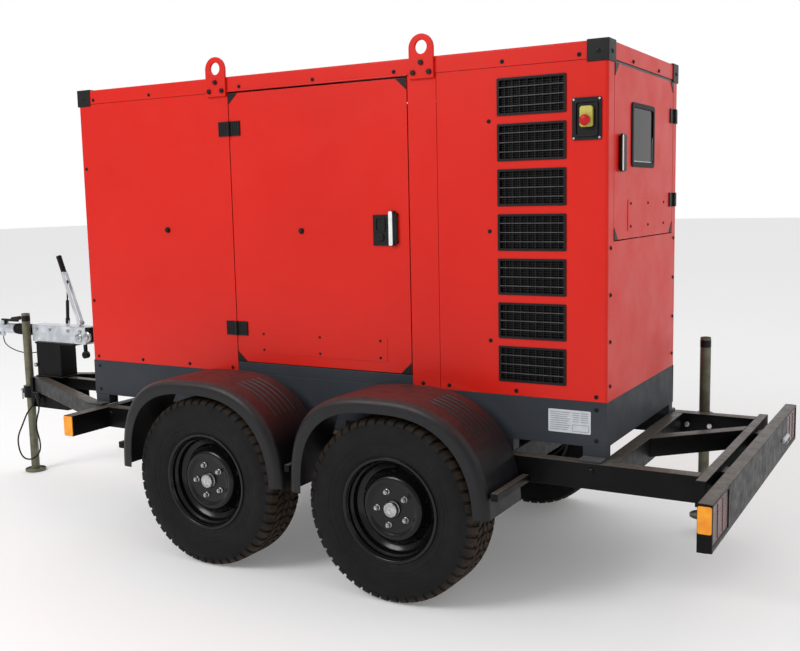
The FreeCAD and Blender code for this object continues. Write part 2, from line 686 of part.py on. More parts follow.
def cooling_fan():
    hub = tube((fan_x, 0, fan_z), (fan_x + 55, 0, fan_z), 60, 24.6)
    blades = []
    for k in range(7):
        blade = box(fan_x + 21, fan_x + 27, -38, 38, fan_z + 50, fan_z + 318)
        blade.rotate(V(fan_x + 24, 0, fan_z), V(0, 0, 1), 28)
        blade.rotate(V(fan_x + 24, 0, fan_z), V(1, 0, 0), 360.0 * k / 7)
        blades.append(blade)
    return fuse([hub] + blades)


def exhaust_silencer():
    drum = rod((-560, 0, 1790), (260, 0, 1790), 125).cut(rod((-556, 0, 1790), (256, 0, 1790), 121))
    down = rod((-150, 190, 1390), (-150, 190, 1760), 32)
    link = rod((-150, 190, 1728), (-150, 115, 1728), 32)
    pipe = rod((-900, 0, 1840), (-560, 0, 1840), 38)
    return fuse([drum, down, link, pipe])


def control_panel():
    x = half_len - 98
    cabinet = box(x - 230, x, -330, 260, 1430, 2000)
    cabinet = cabinet.cut(box(x - 226, x - 4, -326, 256, 1434, 1996))
    door = box(x, x + 10, -330, 260, 1430, 2000)
    screen = box(x + 10, x + 22, -150, 60, 1730, 1870)
    legs = [box(x - 140, x - 100, y, y + 40, base_top, 1430) for y in (-260.0, 220.0)]
    return [cabinet, door, screen] + legs


def battery():
    y = -half_wid + 188
    z0 = base_top + 31
    case = box(-330, -80, y - 150, y, z0, z0 + 180)
    case = case.cut(box(-324, -86, y - 144, y - 6, z0 + 6, z0 + 155))
    posts = [rod((x, y - 75, z0 + 180), (x, y - 75, z0 + 196), 9) for x in (-290, -120)]
    tray = box(-345, -65, y - 158, -230, base_top, z0)
    return [case] + posts + [tray]


# ---- towing gear ----
def overrun_housing():
    h = housing_half
    body = box(housing_x0, housing_x1, -h, h, housing_z0, housing_z1)
    body = body.cut(box(housing_x0 + 10, housing_x1 - 6, -h + 6, h - 6, housing_z0 + 6,
                        housing_z1 - 6))
    bore = rod((housing_x0 - 1, 0, draw_z), (housing_x0 + 11, 0, draw_z), draw_r + draw_clear)
    body = body.cut(bore)
    end_block = box(housing_x1, housing_x1 + 30, -h + 4, h - 4, housing_z0 + 15, housing_z1)
    linkage = fuse([box(housing_x1 - 30, housing_x1 - 10, -40, -28, housing_z0 - 70, housing_z0),
                    rod((housing_x1 - 20, -46, housing_z0 - 60),
                        (housing_x1 - 20, -20, housing_z0 - 60), 20)])
    lugs = []
    for x, z, r in ((lever_x, lever_z, pin_r + pin_clear), (strut_x, strut_z, 4 + pin_clear)):
        ear = box(x - 14, x + 14, -4, 4, housing_z1, z).fuse(rod((x, -4, z), (x, 4, z), 14))
        lugs.append(ear.removeSplitter().cut(rod((x, -5, z), (x, 5, z), r)))
    return [body, end_block, linkage] + lugs


def handbrake_lever():
    """Two straps either side of the fixed ear, joined under a moulded grip."""
    dx, dz = grip_x - lever_x, grip_z - lever_z
    run = math.hypot(dx, dz)
    straps = []
    for y0, y1 in ((-17, -12), (12, 17)):
        flat = box(-10, 10, y0, y1, 0, run + 60)
        eye = rod((0, y0, 0), (0, y1, 0), 14)
        straps.append(flat.fuse(eye))
        stub_end = math.copysign(5, y0)
        straps.append(rod((0, stub_end, run), (0, (y0 + y1) / 2, run), 5))
    pin = rod((0, -15, 0), (0, 15, 0), pin_r)
    joint = box(-10, 10, -17, 17, run + 45, run + 60)
    grip = rod((0, 0, run + 60), (0, 0, run + 160), 14)
    lever = fuse(straps + [pin, joint, grip])
    lever.rotate(V(0, 0, 0), V(0, 1, 0), math.degrees(math.atan2(dx, dz)))
    lever.translate(V(lever_x, 0, lever_z))
    return lever


def strut_pieces():
    """Gas strut from the housing ear to the lever, drawn upright and then tilted."""
    dx, dz = grip_x - strut_x, grip_z - strut_z
    run = math.hypot(dx, dz)
    fork = [box(-8, 8, y0, y1, -8, 22) for y0, y1 in ((-9.5, -4.6), (4.6, 9.5))]
    pivot = rod((0, -6, 0), (0, 6, 0), 4)
    bridge = box(-8, 8, -9.5, 9.5, 16, 24)
    barrel = tube((0, 0, 24), (0, 0, strut_barrel), 9.5, 5)
    cylinder = fuse(fork + [pivot, bridge, barrel])
    stem = rod((0, 0, strut_barrel - 12), (0, 0, run - 8), 4.4)
    eye = rod((0, -3.6, run), (0, 3.6, run), 9)
    piston = fuse([stem, eye])
    out = []
    for s in (cylinder, piston):
        s.rotate(V(0, 0, 0), V(0, 1, 0), math.degrees(math.atan2(dx, dz)))
        s.translate(V(strut_x, 0, strut_z))
        out.append(s)
    return out


def coupling_head():
    """Draw tube and cast ball head; the cup is open below."""
    draw = tube((head_back, 0, draw_z), (housing_x0 + 330, 0, draw_z), draw_r, draw_r - 6)
    neck = rod((head_back - 70, 0, draw_z), (head_back, 0, draw_z), 31)
    cup = rod((head_tip + 50, 0, draw_z - 42), (head_tip + 50, 0, draw_z + 22), 50)
    web = prism([(head_tip + 60, -34, draw_z - 20), (head_back - 40, -26, draw_z - 20),
                 (head_back - 40, 26, draw_z - 20), (head_tip + 60, 34, draw_z - 20)],
                (0, 0, 42))
    head = fuse([neck, cup, web])
    socket = rod((head_tip + 50, 0, draw_z - 43), (head_tip + 50, 0, draw_z - 8), 26)
    ball = Part.makeSphere(26, V(head_tip + 50, 0, draw_z - 8))
    hole = rod((head_tip + 50, 0, draw_z - 8), (head_tip + 50, 0, draw_z + 10), 8)
    slot = box(latch_x - 22, latch_x + 22, -9, 9, draw_z + 12, draw_z + 40)
    ears = [box(latch_x - 14, latch_x + 14, y0, y1, draw_z + 18, latch_z + 8)
            for y0, y1 in ((-20, -13), (13, 20))]
    lug = box(head_tip + 120, head_tip + 144, -29, -18, draw_z - 45, draw_z - 20)
    head = fuse([head, lug] + ears)
    return [head.cut(socket).cut(ball).cut(hole).cut(slot), draw]


def coupling_latch():
    pin = rod((latch_x, -12.6, latch_z), (latch_x, 12.6, latch_z), 7)
    arm = box(latch_x - 20, latch_x + 120, -8, 8, latch_z + 2, latch_z + 16)
    knob = rod((latch_x + 70, 0, latch_z + 16), (latch_x + 140, 0, latch_z + 26), 12)
    tongue = box(latch_x - 10, latch_x + 10, -8, 8, latch_z - 20, latch_z + 8)
    return fuse([pin, arm, knob, tongue])


def coupling_bellows():
    """Rubber gaiter over the draw tube, with five folds."""
    x0, x1 = head_back + 4, housing_x0 - 1
    folds = 6
    step = (x1 - x0) / folds
    pts = [V(x0, 0, draw_z + draw_r + 2)]
    for k in range(folds):
        pts.append(V(x0 + step * k, 0, draw_z + 29))
        pts.append(V(x0 + step * (k + 0.5), 0, draw_z + 34))
    pts.append(V(x1, 0, draw_z + 29))
    pts.append(V(x1, 0, draw_z + draw_r + 2))
    face = Part.Face(Part.makePolygon(pts + [pts[0]]))
    return face.revolve(V(0, 0, draw_z), V(1, 0, 0), 360)


def stand(x, y, foot_z, height):
    pole = ring_xy(x, y, foot_z + 8, foot_z + height, stand_r, stand_r - 4)
    foot = rod((x, y, foot_z), (x, y, foot_z + 8), foot_r)
    upstand = ring_xy(x, y, foot_z + 8, foot_z + 16, foot_r, foot_r - 6)
    return [pole, foot.fuse(upstand).removeSplitter()]


def split_clamp(x, y, z, screw):
    """Clamp ring on the stand axis with a boss for its screw; screw is its outward direction."""
    half, boss = 35, 14
    sx, sy = screw
    ring = rod((x, y, z - half), (x, y, z + half), clamp_r)
    near, far = clamp_r - 6, clamp_r + boss
    ring = ring.fuse(box(x + sx * near - abs(sy) * boss, x + sx * far + abs(sy) * boss,
                         y + sy * near - abs(sx) * boss, y + sy * far + abs(sx) * boss,
                         z - boss, z + boss))
    return ring.removeSplitter(), (x + sx * (far + 10), y + sy * (far + 10), z)


def stand_clamps():
    """Split clamps welded to the drawbar box and bolted to the right-hand rail."""
    bore = stand_r + stand_clear
    hole = screw_r + screw_clear
    x, y, z = front_stand_x, front_stand_y, clamp_front_z
    ring, tip = split_clamp(x, y, z, (-1, 0))
    web = box(x + clamp_r - 8, apex_x - 20, y - 25, y + 25, z - 30, z + 30)
    front = fuse([ring, web]).cut(rod((x, y, z - 60), (x, y, z + 60), bore))
    front = front.cut(rod((x, y, z), tip, hole))
    x, y, z = rear_stand_x, rear_stand_y, clamp_rear_z
    ring, tip = split_clamp(x, y, z, (0, 1))
    web = box(x - 70, x + 70, rail_out, rail_out + 12, z - 42, z + 42)
    rear = fuse([ring, web]).cut(rod((x, y, z - 60), (x, y, z + 60), bore))
    rear = rear.cut(rod((x, y, z), tip, hole))
    inner = rail_out - rail_w
    bolts = [rod((x + dx, inner - bolt_r, z), (x + dx, inner, z), 11) for dx in (-50, 50)]
    return [front, rear] + bolts


def clamp_screw(x, y, z, direction):
    """Screw that bears on the stand, with a drop handle through its outer end."""
    dx, dy = direction
    near, far, bar = stand_r + 3, stand_r + 54, stand_r + 48
    stem = rod((x + dx * near, y + dy * near, z), (x + dx * far, y + dy * far, z), screw_r)
    bx, by = x + dx * bar, y + dy * bar
    return fuse([stem, rod((bx, by, z - 55), (bx, by, z + 12), 5)])


# ---- cords ----
def cord(points, r, label):
    """Round cord of straight runs and tangent arcs; prints its arc radii."""
    pts = [V(*p) for p in points]
    edges, here, radii = [], pts[0], []
    for a, b, c in zip(pts, pts[1:], pts[2:]):
        u, w = b - a, c - b
        turn = u.getAngle(w)
        short = min(u.Length, w.Length)
        radius = 0.45 * short / math.tan(turn / 2)
        back = 0.45 * short
        u.normalize()
        w.normalize()
        start, end = b - u * back, b + w * back
        mid_dir = (w - u)
        mid_dir.normalize()
        centre_gap = radius / math.cos(turn / 2)
        middle = b + mid_dir * (centre_gap - radius)
        edges.append(Part.makeLine(here, start))
        edges.append(Part.Arc(start, middle, end).toShape())
        here = end
        radii.append(radius)
    edges.append(Part.makeLine(here, pts[-1]))
    path = Part.Wire(edges)
    first = pts[1] - pts[0]
    disc = Part.Wire(Part.makeCircle(r, pts[0], first))
    solid = path.makePipeShell([disc], True, True)
    ideal = math.pi * r * r * path.Length
    print(label, "length", round(path.Length, 1), "volume ratio", round(solid.Volume / ideal, 4))
    print("  radii", [round(v) for v in radii])
    return solid


# both cords are drawn from the front face of the drawbar box
lead_points = [(apex_x + dx, y, z) for dx, y, z in (
    (14, -98, 470), (14, -98, 442), (2, -112, 406), (-26, -126, 370),
    (-46, -134, 328), (-68, -138, 284), (-98, -134, 246), (-124, -126, 206),
    (-130, -122, 162), (-112, -127, 120), (-72, -136, 92), (-26, -132, 86),
    (18, -120, 104), (44, -110, 142), (42, -104, 188), (26, -101, 232),
    (8, -98, 278), (16, -99, 322), (38, -105, 360), (56, -108, 394),
    (56, -108, 424))]
breakaway_points = [(apex_x + dx, y, z) for dx, y, z in (
    (8, -14, 716), (-26, -14, 716), (-74, -11, 707), (-122, -12, 703), (-170, -15, 705),
    (-216, -19, 713), (-256, -23, 726), (-290, -26, 743), (-318, -24, 768),
    (-318, -24, 800))]


def trailer_lead():
    return cord(lead_points, 4.5, "trailer lead")


def lead_plug():
    """Seven-pin plug parked under the drawbar box edge."""
    x, y, z = lead_points[-1]
    body = rod((x, y, z), (x, y, z + 34), 11).fuse(rod((x, y, z + 34), (x, y, z + 62), 19))
    return body.removeSplitter()


def lead_fittings():
    """Cable gland and parking socket on the drawbar box."""
    x, y, z = lead_points[0]
    gland = box(x - 12, x + 12, y - 10, -apex_half, z, z + 20)
    px, py, pz = lead_points[-1]
    socket = box(px - 24, px + 24, py - 22, -apex_half - 1, pz + 62, pz + 70)
    arm = box(px - 10, px + 10, -apex_half - 1, -apex_half, pz + 50, pz + 70)
    return [gland, fuse([socket, arm])]


def breakaway_cable():
    return cord(breakaway_points, 3.0, "breakaway cable")


def build():
    node("chassis_frame", chassis_frame())
    node("drawbar_frame", drawbar_frame(), lead_fittings())
    node("rear_light_bar", rear_light_bar())
    node("tail_lamps", tail_lamps())
    node("side_markers", side_markers())
    node("axle_beams", axle_beams())
    node("mudguards", mudguards())
    node("overrun_housing", overrun_housing())
    node("stand_clamps", stand_clamps())
    node("base_frame", base_frame(), fuel_tank())
    node("canopy_posts", canopy_posts())
    node("side_panels", side_panels())
    node("end_panels", end_panels())
    node("roof_panel", roof_panel())
    node("corner_caps", corner_caps())
    node("lifting_eyes", lifting_eyes())
    node("vent_grilles", vent_grilles())
    node("panel_bolts", panel_bolts())
    node("fixed_hinge_leaves", fixed_hinge_leaves())
    node("estop_station", estop_station())
    node("engine_block", engine_block())
    node("alternator", alternator())
    node("radiator", radiator())
    node("exhaust_silencer", exhaust_silencer())
    node("control_panel", control_panel())
    node("battery", battery())
    node("trailer_lead", trailer_lead())
    node("lead_plug", lead_plug())
    node("breakaway_cable", breakaway_cable())
    for end, cx in zip(("front", "rear"), wheel_x):
        for side, s in zip(("left", "right"), SIDES):
            node("swing_arm_%s_%s" % (end, side), swing_arm(cx, s))
            node("rim_%s_%s" % (end, side), rim(cx, s))
            node("tyre_%s_%s" % (end, side), tyre(cx, s))
    for side, s in zip(("left", "right"), SIDES):
        node("%s_door" % side, side_door(s))
        node("%s_door_lever" % side, side_lever(s))
    node("rear_door", rear_door())
    node("rear_door_window", rear_door_window())
    node("rear_door_lever", rear_lever())
    node("estop_button", estop_button())
    node("cooling_fan", cooling_fan())
    node("coupling_head", coupling_head())
    node("coupling_latch", coupling_latch())
    node("coupling_bellows", coupling_bellows())
    node("handbrake_lever", handbrake_lever())
    cylinder, piston = strut_pieces()
    node("gas_strut_cylinder", cylinder)
    node("gas_strut_rod", piston)
    node("front_stand", stand(front_stand_x, front_stand_y, 0, stand_len))
    node("rear_stand", stand(rear_stand_x, rear_stand_y, rear_foot_z, 850))
    node("front_clamp_screw",
         clamp_screw(front_stand_x, front_stand_y, clamp_front_z, (-1, 0)))
    node("rear_clamp_screw", clamp_screw(rear_stand_x, rear_stand_y, clamp_rear_z, (0, 1)))


build()
os.makedirs("parts", exist_ok=True)
for name, solids in NODES.items():
    shape = solids[0] if len(solids) == 1 else Part.makeCompound(solids)
    shape.translate(V(shift_x, 0, 0))
    shape.exportStep("parts/%s.step" % name)
print(len(NODES), "nodes; origin shift", shift_x)
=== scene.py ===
# %% [markdown]
# # A towable diesel generator
# The real machine is a red sheet-metal canopy on a dark skid base, bolted to a black
# two-axle trailer. The CAD frame already holds every part at its true size. This lesson
# dresses it: each cell makes one piece or one finish, in the frame's metres.

# %% Load the frame
import math
import bmesh
import bpy
from mathutils import Matrix, Vector


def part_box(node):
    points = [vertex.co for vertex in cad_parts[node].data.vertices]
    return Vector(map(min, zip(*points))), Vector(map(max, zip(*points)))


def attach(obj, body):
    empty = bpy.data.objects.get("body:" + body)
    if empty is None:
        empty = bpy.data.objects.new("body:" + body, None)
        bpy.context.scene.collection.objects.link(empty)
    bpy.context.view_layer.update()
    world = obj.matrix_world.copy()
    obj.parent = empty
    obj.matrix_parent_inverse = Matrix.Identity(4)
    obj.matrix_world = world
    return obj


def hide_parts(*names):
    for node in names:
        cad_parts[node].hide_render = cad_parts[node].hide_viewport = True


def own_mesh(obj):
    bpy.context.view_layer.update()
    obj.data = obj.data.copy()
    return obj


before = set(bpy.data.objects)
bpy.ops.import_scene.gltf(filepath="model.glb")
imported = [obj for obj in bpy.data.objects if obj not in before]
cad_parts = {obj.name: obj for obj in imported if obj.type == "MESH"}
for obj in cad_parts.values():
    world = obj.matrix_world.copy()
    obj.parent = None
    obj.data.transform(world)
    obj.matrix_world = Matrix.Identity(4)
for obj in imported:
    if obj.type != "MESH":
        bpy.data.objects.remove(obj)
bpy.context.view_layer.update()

scene = bpy.context.scene

# %% [markdown]
# Most sizes here are read in millimetres from the middle of the canopy, because that is
# how a fitter would measure them. One helper turns such a point into the frame's metres.

# %% Measures taken from the frame
roof_low, roof_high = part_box("roof_panel")
middle_x = (roof_low.x + roof_high.x) * 500
half_len = (roof_high.x - roof_low.x) * 500
half_wid = (roof_high.y - roof_low.y) * 500
roof_top, rail_seam = roof_high.z * 1000, roof_low.z * 1000
SIDES = {"left": -1, "right": 1}


def mm(x, y, z):
    """A point in millimetres from the canopy's middle, as metres in the frame."""
    return Vector((x + middle_x, y, z)) / 1000


def box_mm(node):
    """The corners of a CAD node, in millimetres from the canopy's middle."""
    low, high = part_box(node)
    shift = Vector((middle_x, 0, 0))
    return low * 1000 - shift, high * 1000 - shift


seam = box_mm("side_panels")[0].z
print("canopy", round(2 * half_len), "x", round(2 * half_wid), "top", round(roof_top))

# %% [markdown]
# The camera comes first, so that everything after it can be judged. It stands to the left
# of the set and behind its middle, at about eye level, with a normal lens and a very slight
# roll. A camera looks along its own -Z, so its axes are written as
# the columns of a matrix.

# %% Camera
yaw, pitch, roll = 0.523, 0.1256, 0.0209
camera_spot = (2502.2, -4029.6, 1570.1)
lens_length = 44.9
ahead = Vector((-math.sin(yaw) * math.cos(pitch), math.cos(yaw) * math.cos(pitch),
                -math.sin(pitch)))
right = Vector((math.cos(yaw), math.sin(yaw), 0))
down = ahead.cross(right)
axis_x = right * math.cos(roll) + down * math.sin(roll)
axis_y = -(down * math.cos(roll) - right * math.sin(roll))
camera_data = bpy.data.cameras.new("camera")
camera_data.lens = lens_length
camera_data.sensor_width = 36
camera_data.clip_end = 200
camera = bpy.data.objects.new("camera", camera_data)
scene.collection.objects.link(camera)
turned = Matrix((axis_x, axis_y, -ahead)).transposed().to_4x4()
camera.matrix_world = Matrix.Translation(mm(*camera_spot)) @ turned
scene.camera = camera
print("camera at", [round(v, 3) for v in camera.matrix_world.translation])

# %% [markdown]
# ## Finishes
# A finish is more than a colour. Real paint has an orange-peel skin and dulls in patches,
# moulded plastic has a leathery grain, and dust settles on whatever faces up. One recipe
# covers these: noise moves between two close colours and two roughness values, a finer
# noise gives the bump, and the surface's own upward tilt lets the dust in. On the guards
# the same upward tint is a painted reflection of the red canopy, not dust.

# %% The finish recipe
def shade(r, g, b):
    """A colour given as 0 to 255 screen values, as linear light."""
    def linear(v):
        v /= 255
        return v / 12.92 if v <= 0.04045 else ((v + 0.055) / 1.055) ** 2.4
    return (linear(r), linear(g), linear(b), 1.0)


def join_up(tree, start, end):
    tree.links.new(start, end)


def noise(tree, where, scale, detail=4.0, rough=0.55):
    tex = tree.nodes.new("ShaderNodeTexNoise")
    tex.inputs["Scale"].default_value = scale
    tex.inputs["Detail"].default_value = detail
    tex.inputs["Roughness"].default_value = rough
    join_up(tree, where, tex.inputs["Vector"])
    return tex.outputs["Fac"]


def spread(tree, value, low_in, high_in, low_out, high_out):
    """Map a value from one range to another, held at the ends."""
    node = tree.nodes.new("ShaderNodeMapRange")
    node.inputs["From Min"].default_value = low_in
    node.inputs["From Max"].default_value = high_in
    node.inputs["To Min"].default_value = low_out
    node.inputs["To Max"].default_value = high_out
    join_up(tree, value, node.inputs["Value"])
    return node.outputs["Result"]


def blend_colours(tree, amount, a, b):
    """Mix two colours; each may be a colour or another node's output."""
    node = tree.nodes.new("ShaderNodeMix")
    node.data_type = "RGBA"
    join_up(tree, amount, node.inputs["Factor"])
    for socket, value in ((node.inputs["A"], a), (node.inputs["B"], b)):
        if isinstance(value, tuple):
            socket.default_value = value
        else:
            join_up(tree, value, socket)
    return node.outputs["Result"]


def multiply(tree, a, b):
    node = tree.nodes.new("ShaderNodeMath")
    node.operation = "MULTIPLY"
    join_up(tree, a, node.inputs[0])
    join_up(tree, b, node.inputs[1])
    return node.outputs[0]


def finish(name, light, dark, rough, metallic=0.0, coat=0.0, patch=3.0, grain=900.0,
           depth=0.02, dust_and_reflection=None, dust_and_reflection_top=0.0, sheen=0.3):
    """A weathered surface: two close colours, uneven gloss, fine grain, dust on top (a painted
    reflection on the guards).
    """
    mat = bpy.data.materials.new(name)
    mat.use_nodes = True
    tree = mat.node_tree
    shader = tree.nodes["Principled BSDF"]
    where = tree.nodes.new("ShaderNodeTexCoord").outputs["Object"]
    patches = noise(tree, where, patch)
    colour = blend_colours(tree, spread(tree, patches, 0.35, 0.65, 0.0, 1.0), light, dark)
    # The top tint is real road dust on most finishes; on the guards it is a painted reflection
    # of the red canopy.
    if dust_and_reflection:
        geometry = tree.nodes.new("ShaderNodeNewGeometry")
        split = tree.nodes.new("ShaderNodeSeparateXYZ")
        join_up(tree, geometry.outputs["Normal"], split.inputs["Vector"])
        upward = spread(tree, split.outputs["Z"], 0.35, 1.0, 0.0, dust_and_reflection_top)
        top_tint_patches = spread(tree, noise(tree, where, patch * 12), 0.3, 0.7, 0.55, 1.0)
        colour = blend_colours(tree, multiply(tree, upward, top_tint_patches), colour, dust_and_reflection)
    join_up(tree, colour, shader.inputs["Base Color"])
    smears = noise(tree, where, patch * 5)
    join_up(tree, spread(tree, smears, 0.3, 0.7, *rough), shader.inputs["Roughness"])
    bump = tree.nodes.new("ShaderNodeBump")
    bump.inputs["Strength"].default_value = depth * 10
    bump.inputs["Distance"].default_value = 0.0004
    join_up(tree, noise(tree, where, grain, 2.0), bump.inputs["Height"])
    join_up(tree, bump.outputs["Normal"], shader.inputs["Normal"])
    shader.inputs["Metallic"].default_value = metallic
    shader.inputs["Coat Weight"].default_value = coat
    shader.inputs["Coat Roughness"].default_value = 0.12
    shader.inputs["Specular IOR Level"].default_value = sheen
    return mat


# %% [markdown]
# The canopy is powder coated in a warm signal red. The coat is fairly glossy, with a skin
# like orange peel a couple of millimetres across, and it fades very slightly in patches.

# %% Canopy red
canopy_red = finish("canopy_red_powder_coat", shade(212, 30, 16), shade(206, 26, 13),
                    (0.34, 0.46), coat=0.06, patch=1.6, grain=420, depth=0.01, sheen=0.22)
print("made", canopy_red.name)

# %% [markdown]
# The skid base wears a dark slate powder coat with a finer, duller skin, and the trailer a
# black chassis paint. Both carry road dust on their tops, which reads as a paler edge.

# %% Base slate and chassis black
road_dust = shade(148, 140, 130)
base_slate = finish("base_slate_powder_coat", shade(52, 56, 62), shade(46, 50, 56),
                    (0.42, 0.58), patch=2.0, grain=700, depth=0.02,
                    dust_and_reflection=road_dust, dust_and_reflection_top=0.35, sheen=0.2)
chassis_black = finish("chassis_black_paint", shade(15, 15, 16), shade(9, 9, 10),
                       (0.30, 0.48), coat=0.03, patch=5.0, grain=300, depth=0.015,
                       dust_and_reflection=road_dust, dust_and_reflection_top=0.42, sheen=0.1)
fitting_black = finish("fitting_black_coat", shade(18, 18, 19), shade(13, 13, 14),
                       (0.36, 0.5), patch=30, grain=1500, depth=0.02, sheen=0.25)
print("made", base_slate.name, chassis_black.name, fitting_black.name)

# %% [markdown]
# Hot-dip galvanising freezes into crystals called spangle. A Voronoi texture is a good
# stand-in, because its cells meet in straight edges as the crystals do. The prop stands
# have weathered to an olive grey, and the overrun housing is still bright.

# %% Galvanised steel
def galvanised(name, light, dark, rough, metallic):
    mat = finish(name, light, dark, rough, metallic=metallic, patch=14, grain=240, depth=0.05)
    tree = mat.node_tree
    shader = tree.nodes["Principled BSDF"]
    where = tree.nodes.new("ShaderNodeTexCoord").outputs["Object"]
    cells = tree.nodes.new("ShaderNodeTexVoronoi")
    cells.inputs["Scale"].default_value = 70
    join_up(tree, where, cells.inputs["Vector"])
    split = tree.nodes.new("ShaderNodeSeparateXYZ")
    join_up(tree, cells.outputs["Color"], split.inputs["Vector"])
    old = shader.inputs["Base Color"].links[0].from_socket
    amount = spread(tree, split.outputs["X"], 0.0, 1.0, 0.0, 0.35)
    join_up(tree, blend_colours(tree, amount, old, dark), shader.inputs["Base Color"])
    return mat


bright_zinc = galvanised("bright_galvanised", shade(226, 230, 234), shade(186, 190, 196),
                         (0.3, 0.46), 0.7)
stand_zinc = galvanised("weathered_galvanised", shade(128, 128, 108), shade(98, 98, 82),
                        (0.45, 0.65), 0.45)
plated = finish("plated_bolt_zinc", shade(200, 200, 202), shade(150, 150, 154), (0.16, 0.34),
                metallic=0.95, patch=120, grain=900, depth=0.02)
polished = finish("polished_rod_chrome", shade(222, 222, 224), shade(206, 206, 210),
                  (0.05, 0.12), metallic=1.0, patch=60, grain=1800, depth=0.005)
print("made", bright_zinc.name, stand_zinc.name, plated.name, polished.name)

# %% [markdown]
# The guards and corner caps are moulded black plastic with a soft sheen. A maroon tint on the
# guards' tops is a painted reflection of the red canopy. Rubber is duller, and its grain is
# finer still.

# %% Plastics and rubber
# The maroon tint on the guard tops, shade(98, 64, 60), is a painted reflection of the red
# canopy, not dust.
guard_plastic = finish("guard_black_plastic", shade(24, 24, 27), shade(18, 18, 21),
                       (0.36, 0.48), patch=4, grain=1100, depth=0.02,
                       dust_and_reflection=shade(98, 64, 60), dust_and_reflection_top=0.7, sheen=0.3)
cap_plastic = finish("cap_black_plastic", shade(20, 20, 21), shade(15, 15, 16),
                     (0.40, 0.52), patch=25, grain=1600, depth=0.03, sheen=0.25)
soft_rubber = finish("cable_black_rubber", shade(18, 18, 18), shade(13, 13, 13),
                     (0.5, 0.65), patch=40, grain=2200, depth=0.02, sheen=0.2)
grip_rubber = finish("grip_black_rubber", shade(17, 17, 18), shade(11, 11, 12),
                     (0.55, 0.7), patch=60, grain=700, depth=0.08, sheen=0.2)
wheel_black = finish("wheel_gloss_black", shade(9, 9, 10), shade(6, 6, 6),
                     (0.16, 0.3), coat=0.12, patch=9, grain=260, depth=0.008,
                     dust_and_reflection=shade(52, 49, 46), dust_and_reflection_top=0.08, sheen=0.25)
white_film = finish("white_lever_film", shade(236, 236, 234), shade(222, 223, 224),
                    (0.35, 0.5), patch=50, grain=400, depth=0.05)
print("made", guard_plastic.name, cap_plastic.name, soft_rubber.name, wheel_black.name)

# %% [markdown]
# Tyre rubber is near black on the sidewall, while the tread is brown with dried mud. The
# wheel pieces keep their origin on the axle, so the distance from that axis tells the
# shader where the tread is.

# %% Tyre rubber
def tyre_finish(tread_from, tread_to):
    mat = finish("tyre_rubber", shade(26, 26, 27), shade(20, 20, 21), (0.6, 0.75),
                 patch=6, grain=1300, depth=0.03, sheen=0.15)
    tree = mat.node_tree
    shader = tree.nodes["Principled BSDF"]
    where = tree.nodes.new("ShaderNodeTexCoord").outputs["Object"]
    flat = tree.nodes.new("ShaderNodeVectorMath")
    flat.operation = "MULTIPLY"
    flat.inputs[1].default_value = (1, 0, 1)
    join_up(tree, where, flat.inputs[0])
    length = tree.nodes.new("ShaderNodeVectorMath")
    length.operation = "LENGTH"
    join_up(tree, flat.outputs["Vector"], length.inputs[0])
    edge = spread(tree, length.outputs["Value"], tread_from, tread_to, 0.0, 1.0)
    mud = multiply(tree, edge, spread(tree, noise(tree, where, 22), 0.35, 0.65, 0.25, 0.9))
    old = shader.inputs["Base Color"].links[0].from_socket
    join_up(tree, blend_colours(tree, mud, old, shade(64, 50, 38)), shader.inputs["Base Color"])
    return mat


tyre_rubber = tyre_finish(0.345, 0.366)
print("made", tyre_rubber.name)

# %% [markdown]
# Lamp lenses are coloured plastic with moulded ribs that throw the light about. A glossy
# shader with a fine wave in its bump looks right at this distance, so the lens needs no
# real glass, which would be slow to render.

# %% Lamp lenses, window and small parts
def lens_finish(name, colour, deep, rib_scale):
    mat = finish(name, colour, deep, (0.14, 0.24), coat=0.15, patch=18, grain=500, depth=0.01,
                 sheen=0.35)
    tree = mat.node_tree
    shader = tree.nodes["Principled BSDF"]
    where = tree.nodes.new("ShaderNodeTexCoord").outputs["Object"]
    ribs = tree.nodes.new("ShaderNodeTexWave")
    ribs.bands_direction = "Y"
    ribs.inputs["Scale"].default_value = rib_scale
    join_up(tree, where, ribs.inputs["Vector"])
    bump = tree.nodes.new("ShaderNodeBump")
    bump.inputs["Strength"].default_value = 0.5
    bump.inputs["Distance"].default_value = 0.001
    join_up(tree, ribs.outputs["Fac"], bump.inputs["Height"])
    join_up(tree, bump.outputs["Normal"], shader.inputs["Normal"])
    return mat


amber_lens = lens_finish("amber_lens", shade(248, 164, 26), shade(232, 136, 16), 60)
red_lens = lens_finish("red_lens", shade(96, 16, 20), shade(60, 9, 13), 46)
window_glass = finish("window_dark_glass", shade(14, 17, 14), shade(9, 12, 10),
                      (0.05, 0.12), patch=3, grain=100, depth=0.002, sheen=0.12)
station_yellow = finish("station_yellow", shade(196, 186, 96), shade(182, 170, 78),
                        (0.4, 0.5), patch=30, grain=1200, depth=0.02, sheen=0.15)
button_red = finish("button_red", shade(190, 26, 34), shade(172, 20, 26),
                    (0.3, 0.4), patch=30, grain=1200, depth=0.01, sheen=0.2)
label_white = finish("label_white", shade(204, 208, 212), shade(192, 197, 202),
                     (0.3, 0.42), patch=20, grain=600, depth=0.01)
label_grey = finish("label_grey", shade(150, 153, 158), shade(132, 136, 142),
                    (0.35, 0.45), patch=20, grain=600, depth=0.01)
# A near-black, almost unreflecting finish: painted shade standing for the dark space behind the
# vents.
vent_shadow = finish("vent_painted_shade", shade(8, 8, 9), shade(5, 5, 6),
                     (0.6, 0.8), patch=60, grain=200, depth=0.05, sheen=0.05)
print("made", amber_lens.name, red_lens.name, window_glass.name, station_yellow.name)

# %% [markdown]
# Behind the doors is the machinery: a cast engine and alternator in grey enamel, a dull
# aluminium core, a heat-stained silencer and a pale control cabinet.

